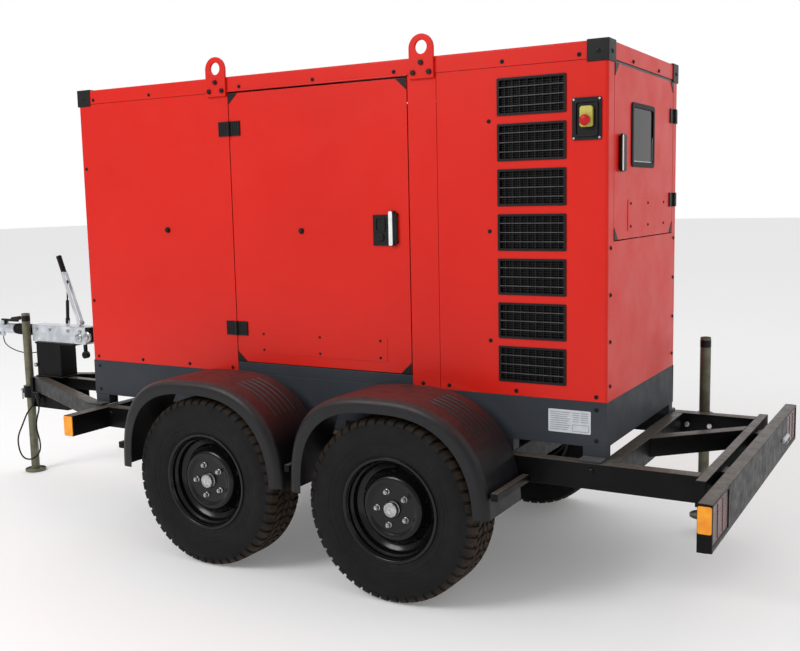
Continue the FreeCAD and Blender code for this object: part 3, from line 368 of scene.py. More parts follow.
# %% Machinery finishes
engine_enamel = finish("engine_grey_enamel", shade(96, 102, 104), shade(78, 84, 86),
                       (0.35, 0.55), patch=9, grain=200, depth=0.08,
                       dust_and_reflection=shade(90, 84, 76), dust_and_reflection_top=0.3)
core_metal = finish("radiator_core_metal", shade(70, 72, 74), shade(48, 50, 52),
                    (0.45, 0.6), metallic=0.6, patch=40, grain=500, depth=0.1)
hot_steel = finish("silencer_heat_steel", shade(150, 138, 124), shade(112, 98, 86),
                   (0.35, 0.6), metallic=0.8, patch=7, grain=220, depth=0.06)
cabinet_grey = finish("cabinet_pale_grey", shade(172, 174, 172), shade(160, 162, 161),
                      (0.4, 0.52), patch=5, grain=520, depth=0.02)
inner_grey = finish("inner_frame_grey", shade(92, 94, 98), shade(80, 82, 86),
                    (0.45, 0.6), patch=5, grain=420, depth=0.02)
print("made", engine_enamel.name, core_metal.name, hot_steel.name, cabinet_grey.name)

# %% [markdown]
# ## Helpers for shapes
# Nothing on a real machine has a knife edge. Every piece here is drawn as faces in a
# bmesh, its sharp edges are rounded by a real bevel, and weighted normals then keep the
# flats flat. Points are in millimetres from the canopy's middle.

# %% Shape helpers
def add_box(bm, x0, x1, y0, y1, z0, z1):
    """A box between two corners, given in any order."""
    low = mm(min(x0, x1), min(y0, y1), min(z0, z1))
    high = mm(max(x0, x1), max(y0, y1), max(z0, z1))
    for v in bmesh.ops.create_cube(bm, size=1)["verts"]:
        v.co = Vector(low[k] + (v.co[k] + 0.5) * (high[k] - low[k]) for k in range(3))


def add_prism(bm, outline, push):
    """A straight prism on a closed outline of points, pushed along a vector."""
    near = [bm.verts.new(mm(*p)) for p in outline]
    shift = Vector(push) / 1000
    far = [bm.verts.new(v.co + shift) for v in near]
    bm.faces.new(near)
    bm.faces.new(list(reversed(far)))
    for k, v in enumerate(near):
        after = (k + 1) % len(near)
        bm.faces.new((v, far[k], far[after], near[after]))


def add_lathe(bm, profile, centre, axis, steps=48, closed=False):
    """Spin (radius, offset) points a full turn about an axis through centre."""
    axis = Vector(axis).normalized()
    side = axis.orthogonal().normalized()
    if abs(axis.y) > 0.9:
        side = Vector((1, 0, 0))
    up = axis.cross(side)
    rings = []
    for k in range(steps):
        a = math.radians(360.0 * k / steps)
        out = side * math.cos(a) + up * math.sin(a)
        rings.append([bm.verts.new(mm(*centre) + (out * r + axis * o) / 1000)
                      for r, o in profile])
    last = len(profile) if closed else len(profile) - 1
    for k in range(steps):
        a, b = rings[k], rings[(k + 1) % steps]
        for j in range(last):
            n = (j + 1) % len(profile)
            bm.faces.new((a[j], b[j], b[n], a[n]))


def add_rod(bm, start, end, r, steps=24, edge=0.0):
    """A capped round bar with an optional chamfer at its ends."""
    run = Vector(end) - Vector(start)
    n = run.length
    profile = [(0.001, 0), (r - edge, 0), (r, edge), (r, n - edge), (r - edge, n), (0.001, n)]
    if edge == 0:
        profile = [(0.001, 0), (r, 0), (r, n), (0.001, n)]
    add_lathe(bm, profile, start, run, steps)


def add_screw(bm, spot, out, r=9.0, high=5.0):
    """A domed screw on a thin flange, with a round socket."""
    shape = [(r, 0), (r, 0.25 * high), (0.84 * r, 0.34 * high), (0.8 * r, 0.62 * high),
             (0.62 * r, 0.9 * high), (0.42 * r, high), (0.36 * r, high), (0.34 * r, 0.5 * high),
             (0.001, 0.5 * high)]
    add_lathe(bm, shape, spot, out, 16)


def add_hex(bm, spot, out, across, high):
    """A hexagon nut with a small chamfer."""
    r = across / math.sqrt(3)
    add_lathe(bm, [(r * 0.92, 0), (r, 0.12 * high), (r, 0.82 * high), (0.86 * r, high),
                   (0.001, high)], spot, out, 6)


def rounded(x0, x1, z0, z1, r, steps=5):
    """Corner points of a rounded rectangle, as (across, up) pairs."""
    points = []
    corners = ((x1 - r, z1 - r, 0), (x0 + r, z1 - r, 90),
               (x0 + r, z0 + r, 180), (x1 - r, z0 + r, 270))
    for cx, cz, start in corners:
        for k in range(steps + 1):
            a = math.radians(start + 90 * k / steps)
            points.append((cx + r * math.cos(a), cz + r * math.sin(a)))
    return points


def add_ring_plate(bm, outer, inner, at, push):
    """A flat frame between two outlines with equal counts; at() places their points."""
    shift = Vector(push) / 1000
    rows = []
    for line in (outer, inner):
        near = [bm.verts.new(mm(*at(*p))) for p in line]
        rows.append((near, [bm.verts.new(v.co + shift) for v in near]))
    (a, b), (c, d) = rows
    n = len(outer)
    for k in range(n):
        j = (k + 1) % n
        bm.faces.new((a[k], c[k], c[j], a[j]))
        bm.faces.new((b[k], b[j], d[j], d[k]))
        bm.faces.new((a[k], a[j], b[j], b[k]))
        bm.faces.new((c[k], d[k], d[j], c[j]))


def round_edges(bm, width, segments=2, sharp=35):
    """Bevel every edge that turns more than the given angle; width is in millimetres."""
    limit = math.radians(sharp)
    edges = [e for e in bm.edges if len(e.link_faces) == 2 and e.calc_face_angle(0) > limit]
    bmesh.ops.bevel(bm, geom=edges, offset=width / 1000, segments=segments, profile=0.5,
                    affect="EDGES", clamp_overlap=True)


def piece(name, bm, material, body, bevel=0.0, segments=2, stands_for=()):
    """Finish a bmesh as an object that rides on a body."""
    bmesh.ops.recalc_face_normals(bm, faces=bm.faces)
    if bevel:
        round_edges(bm, bevel, segments)
    mesh = bpy.data.meshes.new(name)
    bm.to_mesh(mesh)
    bm.free()
    mesh.shade_smooth()
    mesh.set_sharp_from_angle(angle=math.radians(42))
    mesh.materials.append(material)
    obj = bpy.data.objects.new(name, mesh)
    scene.collection.objects.link(obj)
    even = obj.modifiers.new("even_normals", "WEIGHTED_NORMAL")
    even.keep_sharp = True
    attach(obj, body)
    if stands_for:
        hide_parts(*stands_for)
    return obj


print("helpers ready")

# %% [markdown]
# A CAD solid has true faces but hard edges. This helper copies a node, merges its flat
# triangles back into whole faces and rounds the edges. It can also pick out some of the
# node's loose pieces, so that bolts and plates in one node can have their own finishes.

# %% Copy pieces of the frame with softened edges
def loose_parts(node):
    """The node's separate pieces, each a bmesh with its corners in millimetres."""
    whole = bmesh.new()
    whole.from_mesh(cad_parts[node].data)
    bmesh.ops.remove_doubles(whole, verts=whole.verts, dist=2e-5)
    left = set(whole.verts)
    parts = []
    while left:
        seed = left.pop()
        group, edge = {seed}, [seed]
        while edge:
            v = edge.pop()
            for e in v.link_edges:
                other = e.other_vert(v)
                if other in left:
                    left.discard(other)
                    group.add(other)
                    edge.append(other)
        part = bmesh.new()
        order = {v: part.verts.new(v.co) for v in sorted(group, key=lambda v: v.index)}
        faces = {f for v in group for f in v.link_faces}
        for f in sorted(faces, key=lambda f: f.index):
            part.faces.new([order[v] for v in f.verts])
        shift = Vector((middle_x, 0, 0))
        low = Vector(min(v.co[k] for v in part.verts) for k in range(3)) * 1000 - shift
        high = Vector(max(v.co[k] for v in part.verts) for k in range(3)) * 1000 - shift
        parts.append((low, high, part))
    whole.free()
    parts.sort(key=lambda p: tuple(round(c) for c in p[0]))
    return parts


def softened(node, name, material, body, bevel=2.0, keep=None, stands_for=True):
    """A copy of some of a node's pieces with merged flats and rounded edges."""
    bm = bmesh.new()
    for low, high, part in loose_parts(node):
        if keep is None or keep(low, high):
            bmesh.ops.dissolve_limit(part, angle_limit=math.radians(0.5),
                                     use_dissolve_boundaries=False,
                                     verts=part.verts, edges=part.edges)
            mesh = bpy.data.meshes.new("part")
            part.to_mesh(mesh)
            bm.from_mesh(mesh)
            bpy.data.meshes.remove(mesh)
        part.free()
    names = (node,) if stands_for else ()
    return piece(name, bm, material, body, bevel, stands_for=names)


def carve(bm, cutter):
    """Cut one bmesh out of another with an exact boolean."""
    objects = []
    for label, source in (("body", bm), ("cutter", cutter)):
        bmesh.ops.recalc_face_normals(source, faces=source.faces)
        mesh = bpy.data.meshes.new(label)
        source.to_mesh(mesh)
        source.free()
        obj = bpy.data.objects.new(label, mesh)
        scene.collection.objects.link(obj)
        objects.append(obj)
    body, knife = objects
    change = body.modifiers.new("cut", "BOOLEAN")
    change.object = knife
    change.solver = "EXACT"
    bpy.context.view_layer.update()
    done = body.evaluated_get(bpy.context.evaluated_depsgraph_get())
    out = bmesh.new()
    out.from_mesh(done.data)
    for obj in objects:
        mesh = obj.data
        bpy.data.objects.remove(obj)
        bpy.data.meshes.remove(mesh)
    return out


print("copying helpers ready")

# %% [markdown]
# ## Cords
# The trailer lead is a round black cable that leaves a gland on the drawbar, hangs down
# beside the prop stand in a loop and comes back up to its parked plug. A NURBS curve needs
# only the points that a hand would shape it with, and makes one smooth line of them.

# %% Trailer lead and breakaway cable
apex_x = box_mm("drawbar_frame")[0].x + 20
lead_route = [
    (14, -98, 470), (14, -98, 442), (2, -112, 406), (-26, -126, 370),
    (-46, -134, 328), (-68, -138, 284), (-98, -134, 246), (-124, -126, 206),
    (-130, -122, 162), (-112, -127, 120), (-72, -136, 92), (-26, -132, 86),
    (18, -120, 104), (44, -110, 142), (42, -104, 188), (26, -101, 232),
    (8, -98, 278), (16, -99, 322), (38, -105, 360), (56, -108, 394), (56, -108, 424)]
breakaway_route = [
    (8, -14, 716), (-26, -14, 716), (-74, -11, 707), (-122, -12, 703), (-170, -15, 705),
    (-216, -19, 713), (-256, -23, 726), (-290, -26, 743), (-318, -24, 768), (-318, -24, 800)]


def make_cord(name, route, r, material, slot, node, **facts):
    curve = bpy.data.curves.new(name, "CURVE")
    curve.dimensions = "3D"
    curve.resolution_u = 12
    curve.bevel_depth = r / 1000
    curve.bevel_resolution = 6
    curve.use_fill_caps = True
    spline = curve.splines.new("NURBS")
    spline.points.add(len(route) - 1)
    for point, (dx, y, z) in zip(spline.points, route):
        point.co = (*mm(apex_x + dx, y, z), 1)
    spline.order_u = 3
    spline.use_endpoint_u = True
    obj = bpy.data.objects.new(name, curve)
    scene.collection.objects.link(obj)
    curve.materials.append(material)
    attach(obj, "trailer")
    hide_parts(node)
    dx, y, z = route[0]
    return obj


bm = bmesh.new()
plug_x, plug_y, plug_z = apex_x + lead_route[-1][0], lead_route[-1][1], lead_route[-1][2]
add_lathe(bm, [(0.001, 0), (7, 0), (8, 4), (10.5, 16), (11, 34), (15, 35), (18.4, 38),
               (18.4, 44), (17.2, 45), (17.2, 49), (18.4, 50), (18.4, 60), (17.5, 62),
               (0.001, 62)], (plug_x, plug_y, plug_z), (0, 0, 1), 32)
plug = piece("lead_plug_body", bm, cap_plastic, "trailer",
             stands_for=("lead_plug",))
make_cord("trailer_lead_cable", lead_route, 4.5, soft_rubber, "soft_black", "trailer_lead",
          length=0.88, far_end="plug", stiffness="medium", lay="hanging", with_pieces=[plug])
make_cord("breakaway_wire", breakaway_route, 3.0, soft_rubber, "soft_black",
          "breakaway_cable", length=0.37, far_end="object", stiffness="medium", lay="hanging")
print("cords made:", len(lead_route), "and", len(breakaway_route), "points")

# %% [markdown]
# ## Canopy
# Each side sheet is folded round the corner of the canopy, so the vertical corners are
# soft and the end panels tuck in behind them. The rear sheet is cut for seven vents.

# %% Side sheets with folded corners
L, W = half_len, half_wid
sheet, fold_r = 4.0, 12.0
door_gap = 4.0
leaf_low, leaf_high = max(((p[0], p[1]) for p in loose_parts("left_door")),
                          key=lambda p: (p[1] - p[0]).length)
vents = [(low, high) for low, high, part in loose_parts("vent_grilles")]
vent_inset = 261.0               # from the rear sheet's front edge to its vents
post_edge = vents[0][0].x - vent_inset


def on_side(s, off):
    """Puts (along, up) points on a side, off millimetres outside its sheet."""
    return lambda a, b: (a, s * (W + off), b)


def on_rear(off):
    """Puts (across, up) points on the rear, off millimetres outside its sheet."""
    return lambda a, b: (L + off, a, b)


def folded_sheet(bm, x0, x1, s, z0, z1, r=fold_r, t=sheet):
    """A side sheet from x0 that ends in a rounded fold at x1."""
    e = 1 if x1 > x0 else -1
    outer, inner = [(x0, s * W)], [(x0, s * (W - t))]
    for k in range(7):
        a = math.radians(90 * (1 - k / 6))
        c, d = math.cos(a), math.sin(a)
        outer.append((x1 - e * r + e * r * c, s * (W - r + r * d)))
        inner.append((x1 - e * r + e * (r - t) * c, s * (W - r + (r - t) * d)))
    add_prism(bm, [(x, y, z0) for x, y in outer + inner[::-1]], (0, 0, z1 - z0))


for side, s in SIDES.items():
    bm = bmesh.new()
    folded_sheet(bm, post_edge + 1.5, L, s, seam + 1, rail_seam - 1)
    cutter = bmesh.new()
    for low, high in vents:
        if low.y * s > 0:
            add_box(cutter, low.x + 7, high.x - 7, s * (W - 20), s * (W + 20),
                    low.z + 7, high.z - 7)
    bm = carve(bm, cutter)
    names = ("side_panels",) if side == "left" else ()
    piece(f"canopy_rear_sheet_{side}", bm, canopy_red, "trailer",
          stands_for=names)
    bm = bmesh.new()
    folded_sheet(bm, leaf_low.x - door_gap, -L, s, seam + 1, rail_seam - 1)
    piece(f"canopy_front_sheet_{side}", bm, canopy_red, "trailer")
    bm = bmesh.new()
    add_box(bm, leaf_high.x + door_gap, post_edge - 0.5, s * W, s * (W - sheet),
            seam + 1, rail_seam - 1)
    piece(f"canopy_post_sheet_{side}", bm, canopy_red, "trailer", 1.0)
print("six side sheets, vents cut:", len(vents))

# %% [markdown]
# The end panels are the frame's own, pulled in to meet the folds. The front one is
# louvred for the cooling air, so each slot gets a sloping blade behind it.

# %% End panels and front louvres
bm = bmesh.new()
for low, high, part in loose_parts("end_panels"):
    bmesh.ops.dissolve_limit(part, angle_limit=math.radians(0.5), verts=part.verts,
                             edges=part.edges)
    for v in part.verts:
        if abs(v.co.y) * 1000 > W - 8:
            v.co.y = math.copysign((W - 12.4) / 1000, v.co.y)
        if v.co.z * 1000 > rail_seam - 2:
            v.co.z = (rail_seam - 1) / 1000
    mesh = bpy.data.meshes.new("panel")
    part.to_mesh(mesh)
    part.free()
    bm.from_mesh(mesh)
    bpy.data.meshes.remove(mesh)
piece("canopy_end_sheets", bm, canopy_red, "trailer", 0.8,
      stands_for=("end_panels",))
slot_low, slot_pitch, slot_half = 1000, 110, 318
bm = bmesh.new()
for k in range(8):
    z = slot_low + slot_pitch * k
    add_prism(bm, [(-L + 5, -slot_half, z + 66), (-L + 7, -slot_half, z + 66),
                   (-L + 44, -slot_half, z + 4), (-L + 42, -slot_half, z + 4)],
              (0, 2 * slot_half, 0))
piece("front_louvre_blades", bm, canopy_red, "trailer")
print("end sheets and eight louvre blades")

# %% [markdown]
# The roof is a shallow tray that drops over the sheets, with a shadow gap where they
# meet. Its corners match the folds below, and its top edge is pressed to a soft radius.

# %% Roof tray
bm = bmesh.new()
add_box(bm, -L, L, -W, W, rail_seam + 0.8, roof_top)
upright = [e for e in bm.edges if abs(e.verts[0].co.z - e.verts[1].co.z) > 0.01]
bmesh.ops.bevel(bm, geom=upright, offset=fold_r / 1000, segments=5, profile=0.5, affect="EDGES")
bm.normal_update()
rim = [e for e in bm.edges if all(v.co.z > roof_high.z - 1e-5 for v in e.verts)
       and len(e.link_faces) == 2 and e.calc_face_angle(0) > 1]
bmesh.ops.bevel(bm, geom=rim, offset=0.006, segments=4, profile=0.5, affect="EDGES")
bm.normal_update()
under = [f for f in bm.faces if f.normal.z < -0.9]
bmesh.ops.inset_region(bm, faces=under, thickness=0.004, depth=-0.06)
piece("roof_tray", bm, canopy_red, "trailer", stands_for=("roof_panel",))
softened("corner_caps", "roof_corner_caps", cap_plastic, "trailer", 2.5)
cap_in, cap_down = 36, 40        # a cap screw's distance from the corner and the top
bm = bmesh.new()
for sx in (-1, 1):
    for sy in (-1, 1):
        add_screw(bm, (sx * (L - cap_in), sy * (W + 4), roof_top - cap_down), (0, sy, 0), 9, 4)
        add_screw(bm, (sx * (L + 4), sy * (W - cap_in), roof_top - cap_down), (sx, 0, 0), 9, 4)
piece("corner_cap_screws", bm, fitting_black, "trailer")
print("roof tray with capped corners")

# %% [markdown]
# Four lifting eyes stand up through the roof edge, painted with the canopy, and are held
# by black bolts.

# %% Lifting eyes
def tall(low, high):
    return high.z - low.z > 60


def short(low, high):
    return not tall(low, high)


softened("lifting_eyes", "lifting_eye_plates", canopy_red, "trailer", 2.0, tall)
bm = bmesh.new()
for low, high, part in loose_parts("lifting_eyes"):
    part.free()
    if short(low, high):
        s = math.copysign(1, low.y)
        middle = (low + high) / 2
        add_hex(bm, (middle.x, s * (W + 12), middle.z), (0, s, 0), 19, 9)
piece("lifting_eye_bolts", bm, fitting_black, "trailer", 0.6)
bm = bmesh.new()
for s in (-1, 1):
    outline = [(s * (W - 0.5), rail_seam - 1), (s * (W + 3), rail_seam - 1),
               (s * (W + 4.5), rail_seam + 1.5), (s * (W + 4), rail_seam + 4.5),
               (s * (W - 0.5), rail_seam + 7)]
    add_prism(bm, [(leaf_low.x - 4, y, z) for y, z in outline],
              (leaf_high.x - leaf_low.x + 8, 0, 0))
piece("door_drip_edges", bm, canopy_red, "trailer", 0.8)
print("lifting eyes and drip edges made")

# %% [markdown]
# Every sheet is held by small black domed screws. Their places are in the frame, so each
# one is found by the middle of its CAD stub and drawn again with a socket.

# %% Panel screws
bm = bmesh.new()
count = 0
for low, high, part in loose_parts("panel_bolts"):
    part.free()
    x, y, z = (low + high) / 2
    if low.x > L - 1:
        add_screw(bm, (L, y, z), (1, 0, 0), 8.5, 5)
    else:
        s = math.copysign(1, y)
        add_screw(bm, (x, s * W, z), (0, s, 0), 8.5, 5)
    count += 1
piece("panel_screws", bm, fitting_black, "trailer",
      stands_for=("panel_bolts",))
bm = bmesh.new()
for s in (-1, 1):
    add_lathe(bm, [(14, 0), (14, 3), (11.5, 5), (11, 10), (8.5, 12.5), (0.001, 12.5)],
              (-796, s * W, 1450), (0, s, 0), 28)
piece("front_panel_knobs", bm, fitting_black, "trailer")
print("panel screws:", count)

# %% [markdown]
# ## Vents
# Each vent is a black frame with a fine black mesh behind it, three pale bars across and a row
# of fine upright bars. Behind the mesh a near-black sheet is painted shade for the dark inside.
# The frame's own grille shape gives the outline.

# %% Vent grilles
frames, rails, pins, meshes = bmesh.new(), bmesh.new(), bmesh.new(), bmesh.new()
for low, high in vents:
    s = math.copysign(1, low.y)
    outer = rounded(low.x, high.x, low.z, high.z, 5)
    inner = rounded(low.x + 10, high.x - 10, low.z + 9, high.z - 9, 3)
    add_ring_plate(frames, outer, inner, on_side(s, 0.2), (0, s * 3.8, 0))
    # A near-black sheet behind each vent: painted shade for the dark inside.
    add_box(meshes, low.x + 7.5, high.x - 7.5, s * (W - 14), s * (W - 13),
            low.z + 7.5, high.z - 7.5)
    wide, high_part = high.x - low.x, high.z - low.z
    for k in (1, 2, 3):
        z = low.z + high_part * k / 4
        add_box(rails, low.x + 8, high.x - 8, s * (W + 1), s * (W + 3.4), z - 1.6, z + 1.6)
    for k in range(1, 9):
        x = low.x + wide * k / 9
        add_box(pins, x - 1.3, x + 1.3, s * (W - 3), s * (W + 0.8), low.z + 8, high.z - 8)
    for k in range(1, 16):
        z = low.z + high_part * k / 16
        add_box(pins, low.x + 8, high.x - 8, s * (W - 9), s * (W - 8), z - 1.2, z + 1.2)
    for k in range(1, 32):
        x = low.x + wide * k / 32
        add_box(pins, x - 0.8, x + 0.8, s * (W - 9.5), s * (W - 9), low.z + 8, high.z - 8)
rail_paint = finish("vent_rail_grey", shade(84, 80, 82), shade(66, 64, 66), (0.35, 0.5),
                    patch=30, grain=900, depth=0.02)
piece("vent_frames", frames, fitting_black, "trailer", 0.8,
      stands_for=("vent_grilles",))
piece("vent_rails", rails, rail_paint, "trailer")
piece("vent_fine_bars", pins, fitting_black, "trailer")
piece("vent_shade_sheet", meshes, vent_shadow, "trailer")
print("vent grilles:", len(vents))

# %% [markdown]
# ## Doors
# A door is a red leaf with a bolted plate near its foot, black corner stiffeners, ribbed
# hinges and a folding lever in a rounded tray. All of it rides on the door's own body.

# %% Door leaves and plates
def is_leaf(low, high):
    return max(high.x - low.x, high.y - low.y) > 500 and high.z - low.z > 400


def is_plate(low, high):
    return max(high.x - low.x, high.y - low.y) > 450 and high.z - low.z < 200


def is_fitting(low, high):
    return not is_leaf(low, high) and not is_plate(low, high)


def is_hinge(low, high):
    return abs(high.z - low.z - 64) < 1 and high.x - low.x > 40


def corner_piece(bm, at, push, a, b, da, db):
    """A thin triangle at a door corner; a and b are the corner, da and db its two legs."""
    add_prism(bm, [at(a, b), at(a + da, b), at(a, b + db)], push)


def hinge_ribs(bm, low, high, s):
    """Six thin upright ribs on the face of a side hinge leaf."""
    for k in range(6):
        x = low.x + 5 + (high.x - low.x - 10) * k / 5
        add_box(bm, x - 1.5, x + 1.5, s * (W + 5), s * (W + 6.4), low.z + 4, high.z - 4)


for side, s in SIDES.items():
    door = f"{side}_door"
    softened(door, f"{door}_leaf", canopy_red, door, 1.6, is_leaf)
    softened(door, f"{door}_plate", canopy_red, door, 0.8, is_plate, False)
    softened(door, f"{door}_fittings", fitting_black, door, 1.6, is_fitting,
             False)
    bm = bmesh.new()
    for a, da in ((leaf_low.x + 1, 50), (leaf_high.x - 1, -50)):
        for b, db in ((leaf_low.z + 1, 46), (leaf_high.z - 1, -46)):
            corner_piece(bm, on_side(s, 0.2), (0, s * 2.2, 0), a, b, da, db)
    piece(f"{door}_corners", bm, fitting_black, door, 0.8)
    bm = bmesh.new()
    for x in (leaf_low.x + 150, (leaf_low.x + leaf_high.x) / 2, leaf_high.x - 148):
        for z in (leaf_low.z + 60, leaf_low.z + 132):
            add_screw(bm, (x, s * (W + 2), z), (0, s, 0), 6, 3.5)
    add_lathe(bm, [(13, 0), (13, 3), (10.5, 5), (10, 9), (7.5, 11), (0.001, 11)],
              (-28, s * W, 1444), (0, s, 0), 28)
    for low, high, part in loose_parts(door):
        part.free()
        if is_hinge(low, high):
            hinge_ribs(bm, low, high, s)
    piece(f"{door}_small_fittings", bm, fitting_black, door)
print("side doors dressed")

# %% [markdown]
# The rear door has the same parts, and a window in a moulded rubber frame. Thin white strips at
# the foot and up one side of the dark glass are a painted highlight for the light caught by its
# lower edge and one side.

# %% Rear door and window
softened("rear_door", "rear_door_leaf", canopy_red, "rear_door", 1.6, is_leaf)
softened("rear_door", "rear_door_plate", canopy_red, "rear_door", 0.8, is_plate,
         False)
softened("rear_door", "rear_door_fittings", fitting_black, "rear_door", 1.6,
         is_fitting, False)
rear_low, rear_high = max(((p[0], p[1]) for p in loose_parts("rear_door")),
                          key=lambda p: (p[1] - p[0]).length)
plate_low, plate_high = next((p[0], p[1]) for p in loose_parts("rear_door")
                             if is_plate(p[0], p[1]))
bm = bmesh.new()
for a, da in ((rear_low.y + 1, 46), (rear_high.y - 1, -46)):
    for b, db in ((rear_low.z + 1, 46), (rear_high.z - 1, -46)):
        corner_piece(bm, on_rear(0.2), (2.2, 0, 0), a, b, da, db)
piece("rear_door_corners", bm, fitting_black, "rear_door", 0.8)
bm = bmesh.new()
for y in (plate_low.y + 34, (plate_low.y + plate_high.y) / 2, plate_high.y - 34):
    for z in (plate_low.z + 16, plate_high.z - 16):
        add_screw(bm, (L + 2, y, z), (1, 0, 0), 6, 3.5)
piece("rear_door_screws", bm, fitting_black, "rear_door")
win_low, win_high = box_mm("rear_door_window")
y0, y1, z0, z1 = win_low.y, win_high.y, win_low.z, win_high.z
bm = bmesh.new()
rubber = 19                      # how far the rubber frame reaches over the glass
add_ring_plate(bm, rounded(y0, y1, z0, z1, 18),
               rounded(y0 + rubber, y1 - rubber, z0 + rubber, z1 - rubber, 12),
               on_rear(0.3), (5.6, 0, 0))
piece("window_rubber", bm, soft_rubber, "rear_door", 2.4, 3,
      stands_for=("rear_door_window",))
bm = bmesh.new()
outline = rounded(y0 + 18, y1 - 18, z0 + 18, z1 - 18, 12)
add_prism(bm, [(L - 5, a, b) for a, b in outline], (5, 0, 0))
piece("window_glass", bm, window_glass, "rear_door")
# Two white strips on the glass, along its foot and one side: a painted highlight, not a part.
bm = bmesh.new()
add_box(bm, L + 0.2, L + 1.2, y0 + 26, y1 - 26, z0 + 21, z0 + 24)
add_box(bm, L + 0.2, L + 1.2, y1 - 23, y1 - 20, z0 + 26, z0 + 120)
piece("window_painted_highlight", bm, label_white, "rear_door", 0.4)
print("rear door window", round(y1 - y0), "x", round(z1 - z0), "mm")

# %% [markdown]
# The levers are glossy black with a strip of white protective film, and they sit on a
# tray with a round lock. The fixed halves of the hinges stay with the canopy.

# %% Door levers, locks and fixed hinge leaves
lock_z = 1416
for side, s in SIDES.items():
    lever = f"{side}_door_lever"
    softened(lever, f"{lever}_grip", fitting_black, lever, 2.5)
    low, high = box_mm(lever)
    bm = bmesh.new()
    outline = rounded(low.x - 1, low.x + 17, low.z + 1, high.z - 1, 5)
    add_prism(bm, [(x, s * (W + 16), z) for x, z in outline], (0, s * 0.9, 0))
    piece(f"{lever}_film", bm, white_film, lever, 0.3)
    bm = bmesh.new()
    lock_x = low.x - 44
    add_lathe(bm, [(17, 0), (17, 2), (14, 3.5), (14, 7), (12, 8), (5, 8), (5, 6.5),
                   (0.001, 6.5)], (lock_x, s * (W + 5), lock_z), (0, s, 0), 32)
    outline = rounded(lock_x - 26, lock_x + 22, lock_z + 22, lock_z + 84, 14)
    inner = rounded(lock_x - 21, lock_x + 17, lock_z + 27, lock_z + 79, 10)
    add_ring_plate(bm, outline, inner, on_side(s, 5), (0, s * 4, 0))
    piece(f"{side}_door_lock", bm, cap_plastic, f"{side}_door", 0.6)
softened("rear_door_lever", "rear_lever_grip", fitting_black, "rear_door_lever",
         2.5)
low, high = box_mm("rear_door_lever")
bm = bmesh.new()
outline = rounded(low.y + 1, low.y + 14, low.z + 3, high.z - 3, 5)
add_prism(bm, [(L + 16, y, z) for y, z in outline], (1.4, 0, 0))
piece("rear_lever_film", bm, white_film, "rear_door_lever", 0.3)
softened("fixed_hinge_leaves", "fixed_hinges", fitting_black, "trailer", 1.6)
bm = bmesh.new()
for low, high, part in loose_parts("fixed_hinge_leaves"):
    part.free()
    if high.z - low.z > 55 and high.x < L - 20:
        hinge_ribs(bm, low, high, math.copysign(1, low.y))
piece("fixed_hinge_ribs", bm, fitting_black, "trailer")
print("levers, locks and hinges made")

# %% [markdown]
# ## Emergency stop
# A black plate with four white corner screws carries a yellow button box in a shallow
# tray. The red mushroom head rides on its own body, because it can be pushed in.

# %% Emergency stop station
station = sorted(loose_parts("estop_station"), key=lambda p: -(p[1] - p[0]).length)
plate_box, body_box = station[0][:2], station[1][:2]
for entry in station:
    entry[2].free()
low, high = plate_box
bm = bmesh.new()
outline = rounded(low.x, high.x, low.z, high.z, 8)
add_prism(bm, [(x, -W - 0.2, z) for x, z in outline], (0, -5.8, 0))
piece("estop_plate", bm, fitting_black, "trailer", 1.2,
      stands_for=("estop_station",))
bm = bmesh.new()
outline = rounded(low.x + 12, high.x - 12, low.z + 12, high.z - 12, 12)
inner = rounded(low.x + 18, high.x - 18, low.z + 18, high.z - 18, 8)
add_ring_plate(bm, outline, inner, on_side(-1, 6), (0, -7, 0))
piece("estop_tray_lip", bm, cap_plastic, "trailer", 1.4)
bm = bmesh.new()
for x in (low.x + 7, high.x - 7):
    for z in (low.z + 7, high.z - 7):
        add_screw(bm, (x, -W - 6, z), (0, -1, 0), 4, 2)
piece("estop_plate_screws", bm, label_white, "trailer")
low, high = body_box
bm = bmesh.new()
outline = rounded(low.x, high.x, low.z, high.z, 9)
add_prism(bm, [(x, -W - 6, z) for x, z in outline], (0, -18, 0))
piece("estop_body", bm, station_yellow, "trailer", 2.5, 3)
low, high = box_mm("estop_button")
middle = (low + high) / 2
bm = bmesh.new()
add_lathe(bm, [(8.4, 10.5), (8.4, 17), (15, 17.2), (19.2, 18.4), (20, 20.5), (19.4, 23.5),
               (16.5, 26.2), (10, 27.8), (0.001, 28)], (middle.x, -W - 14, middle.z),
          (0, -1, 0), 40)
piece("estop_mushroom", bm, button_red, "estop_button",
      stands_for=("estop_button",))
print("emergency stop made")

# %% [markdown]
# ## Skid base and trailer
# The base is folded sheet, so its edges are soft. A blank rating plate with empty ruled
# boxes sits near its rear corner. The trailer below is welded box section.

# %% Skid base and rating plate
softened("base_frame", "skid_base", base_slate, "trailer", 2.5)
plate = rounded(1107, 1277, 672, 761, 4)
bm = bmesh.new()
add_prism(bm, [(x, -W - 0.2, z) for x, z in plate], (0, -1.2, 0))
piece("rating_plate", bm, label_white, "trailer", 0.3)
rule_top, rule_pitch, rule_height = 752, 8.4, 2.6
bm = bmesh.new()
for k in range(9):
    z = rule_top - rule_pitch * k
    rules = [(1115, 1196 - 6 * (k % 3))]
    if k < 5:
        rules += [(1206, 1230), (1238, 1268)]
    for x0, x1 in rules:
        add_box(bm, x0, x1, -W - 1.4, -W - 1.8, z - rule_height, z)
add_ring_plate(bm, rounded(1204, 1270, 679, 706, 2), rounded(1206, 1268, 681, 704, 1),
               on_side(-1, 1.4), (0, -0.4, 0))
piece("rating_plate_rules", bm, label_grey, "trailer")
print("skid base with a blank rating plate")

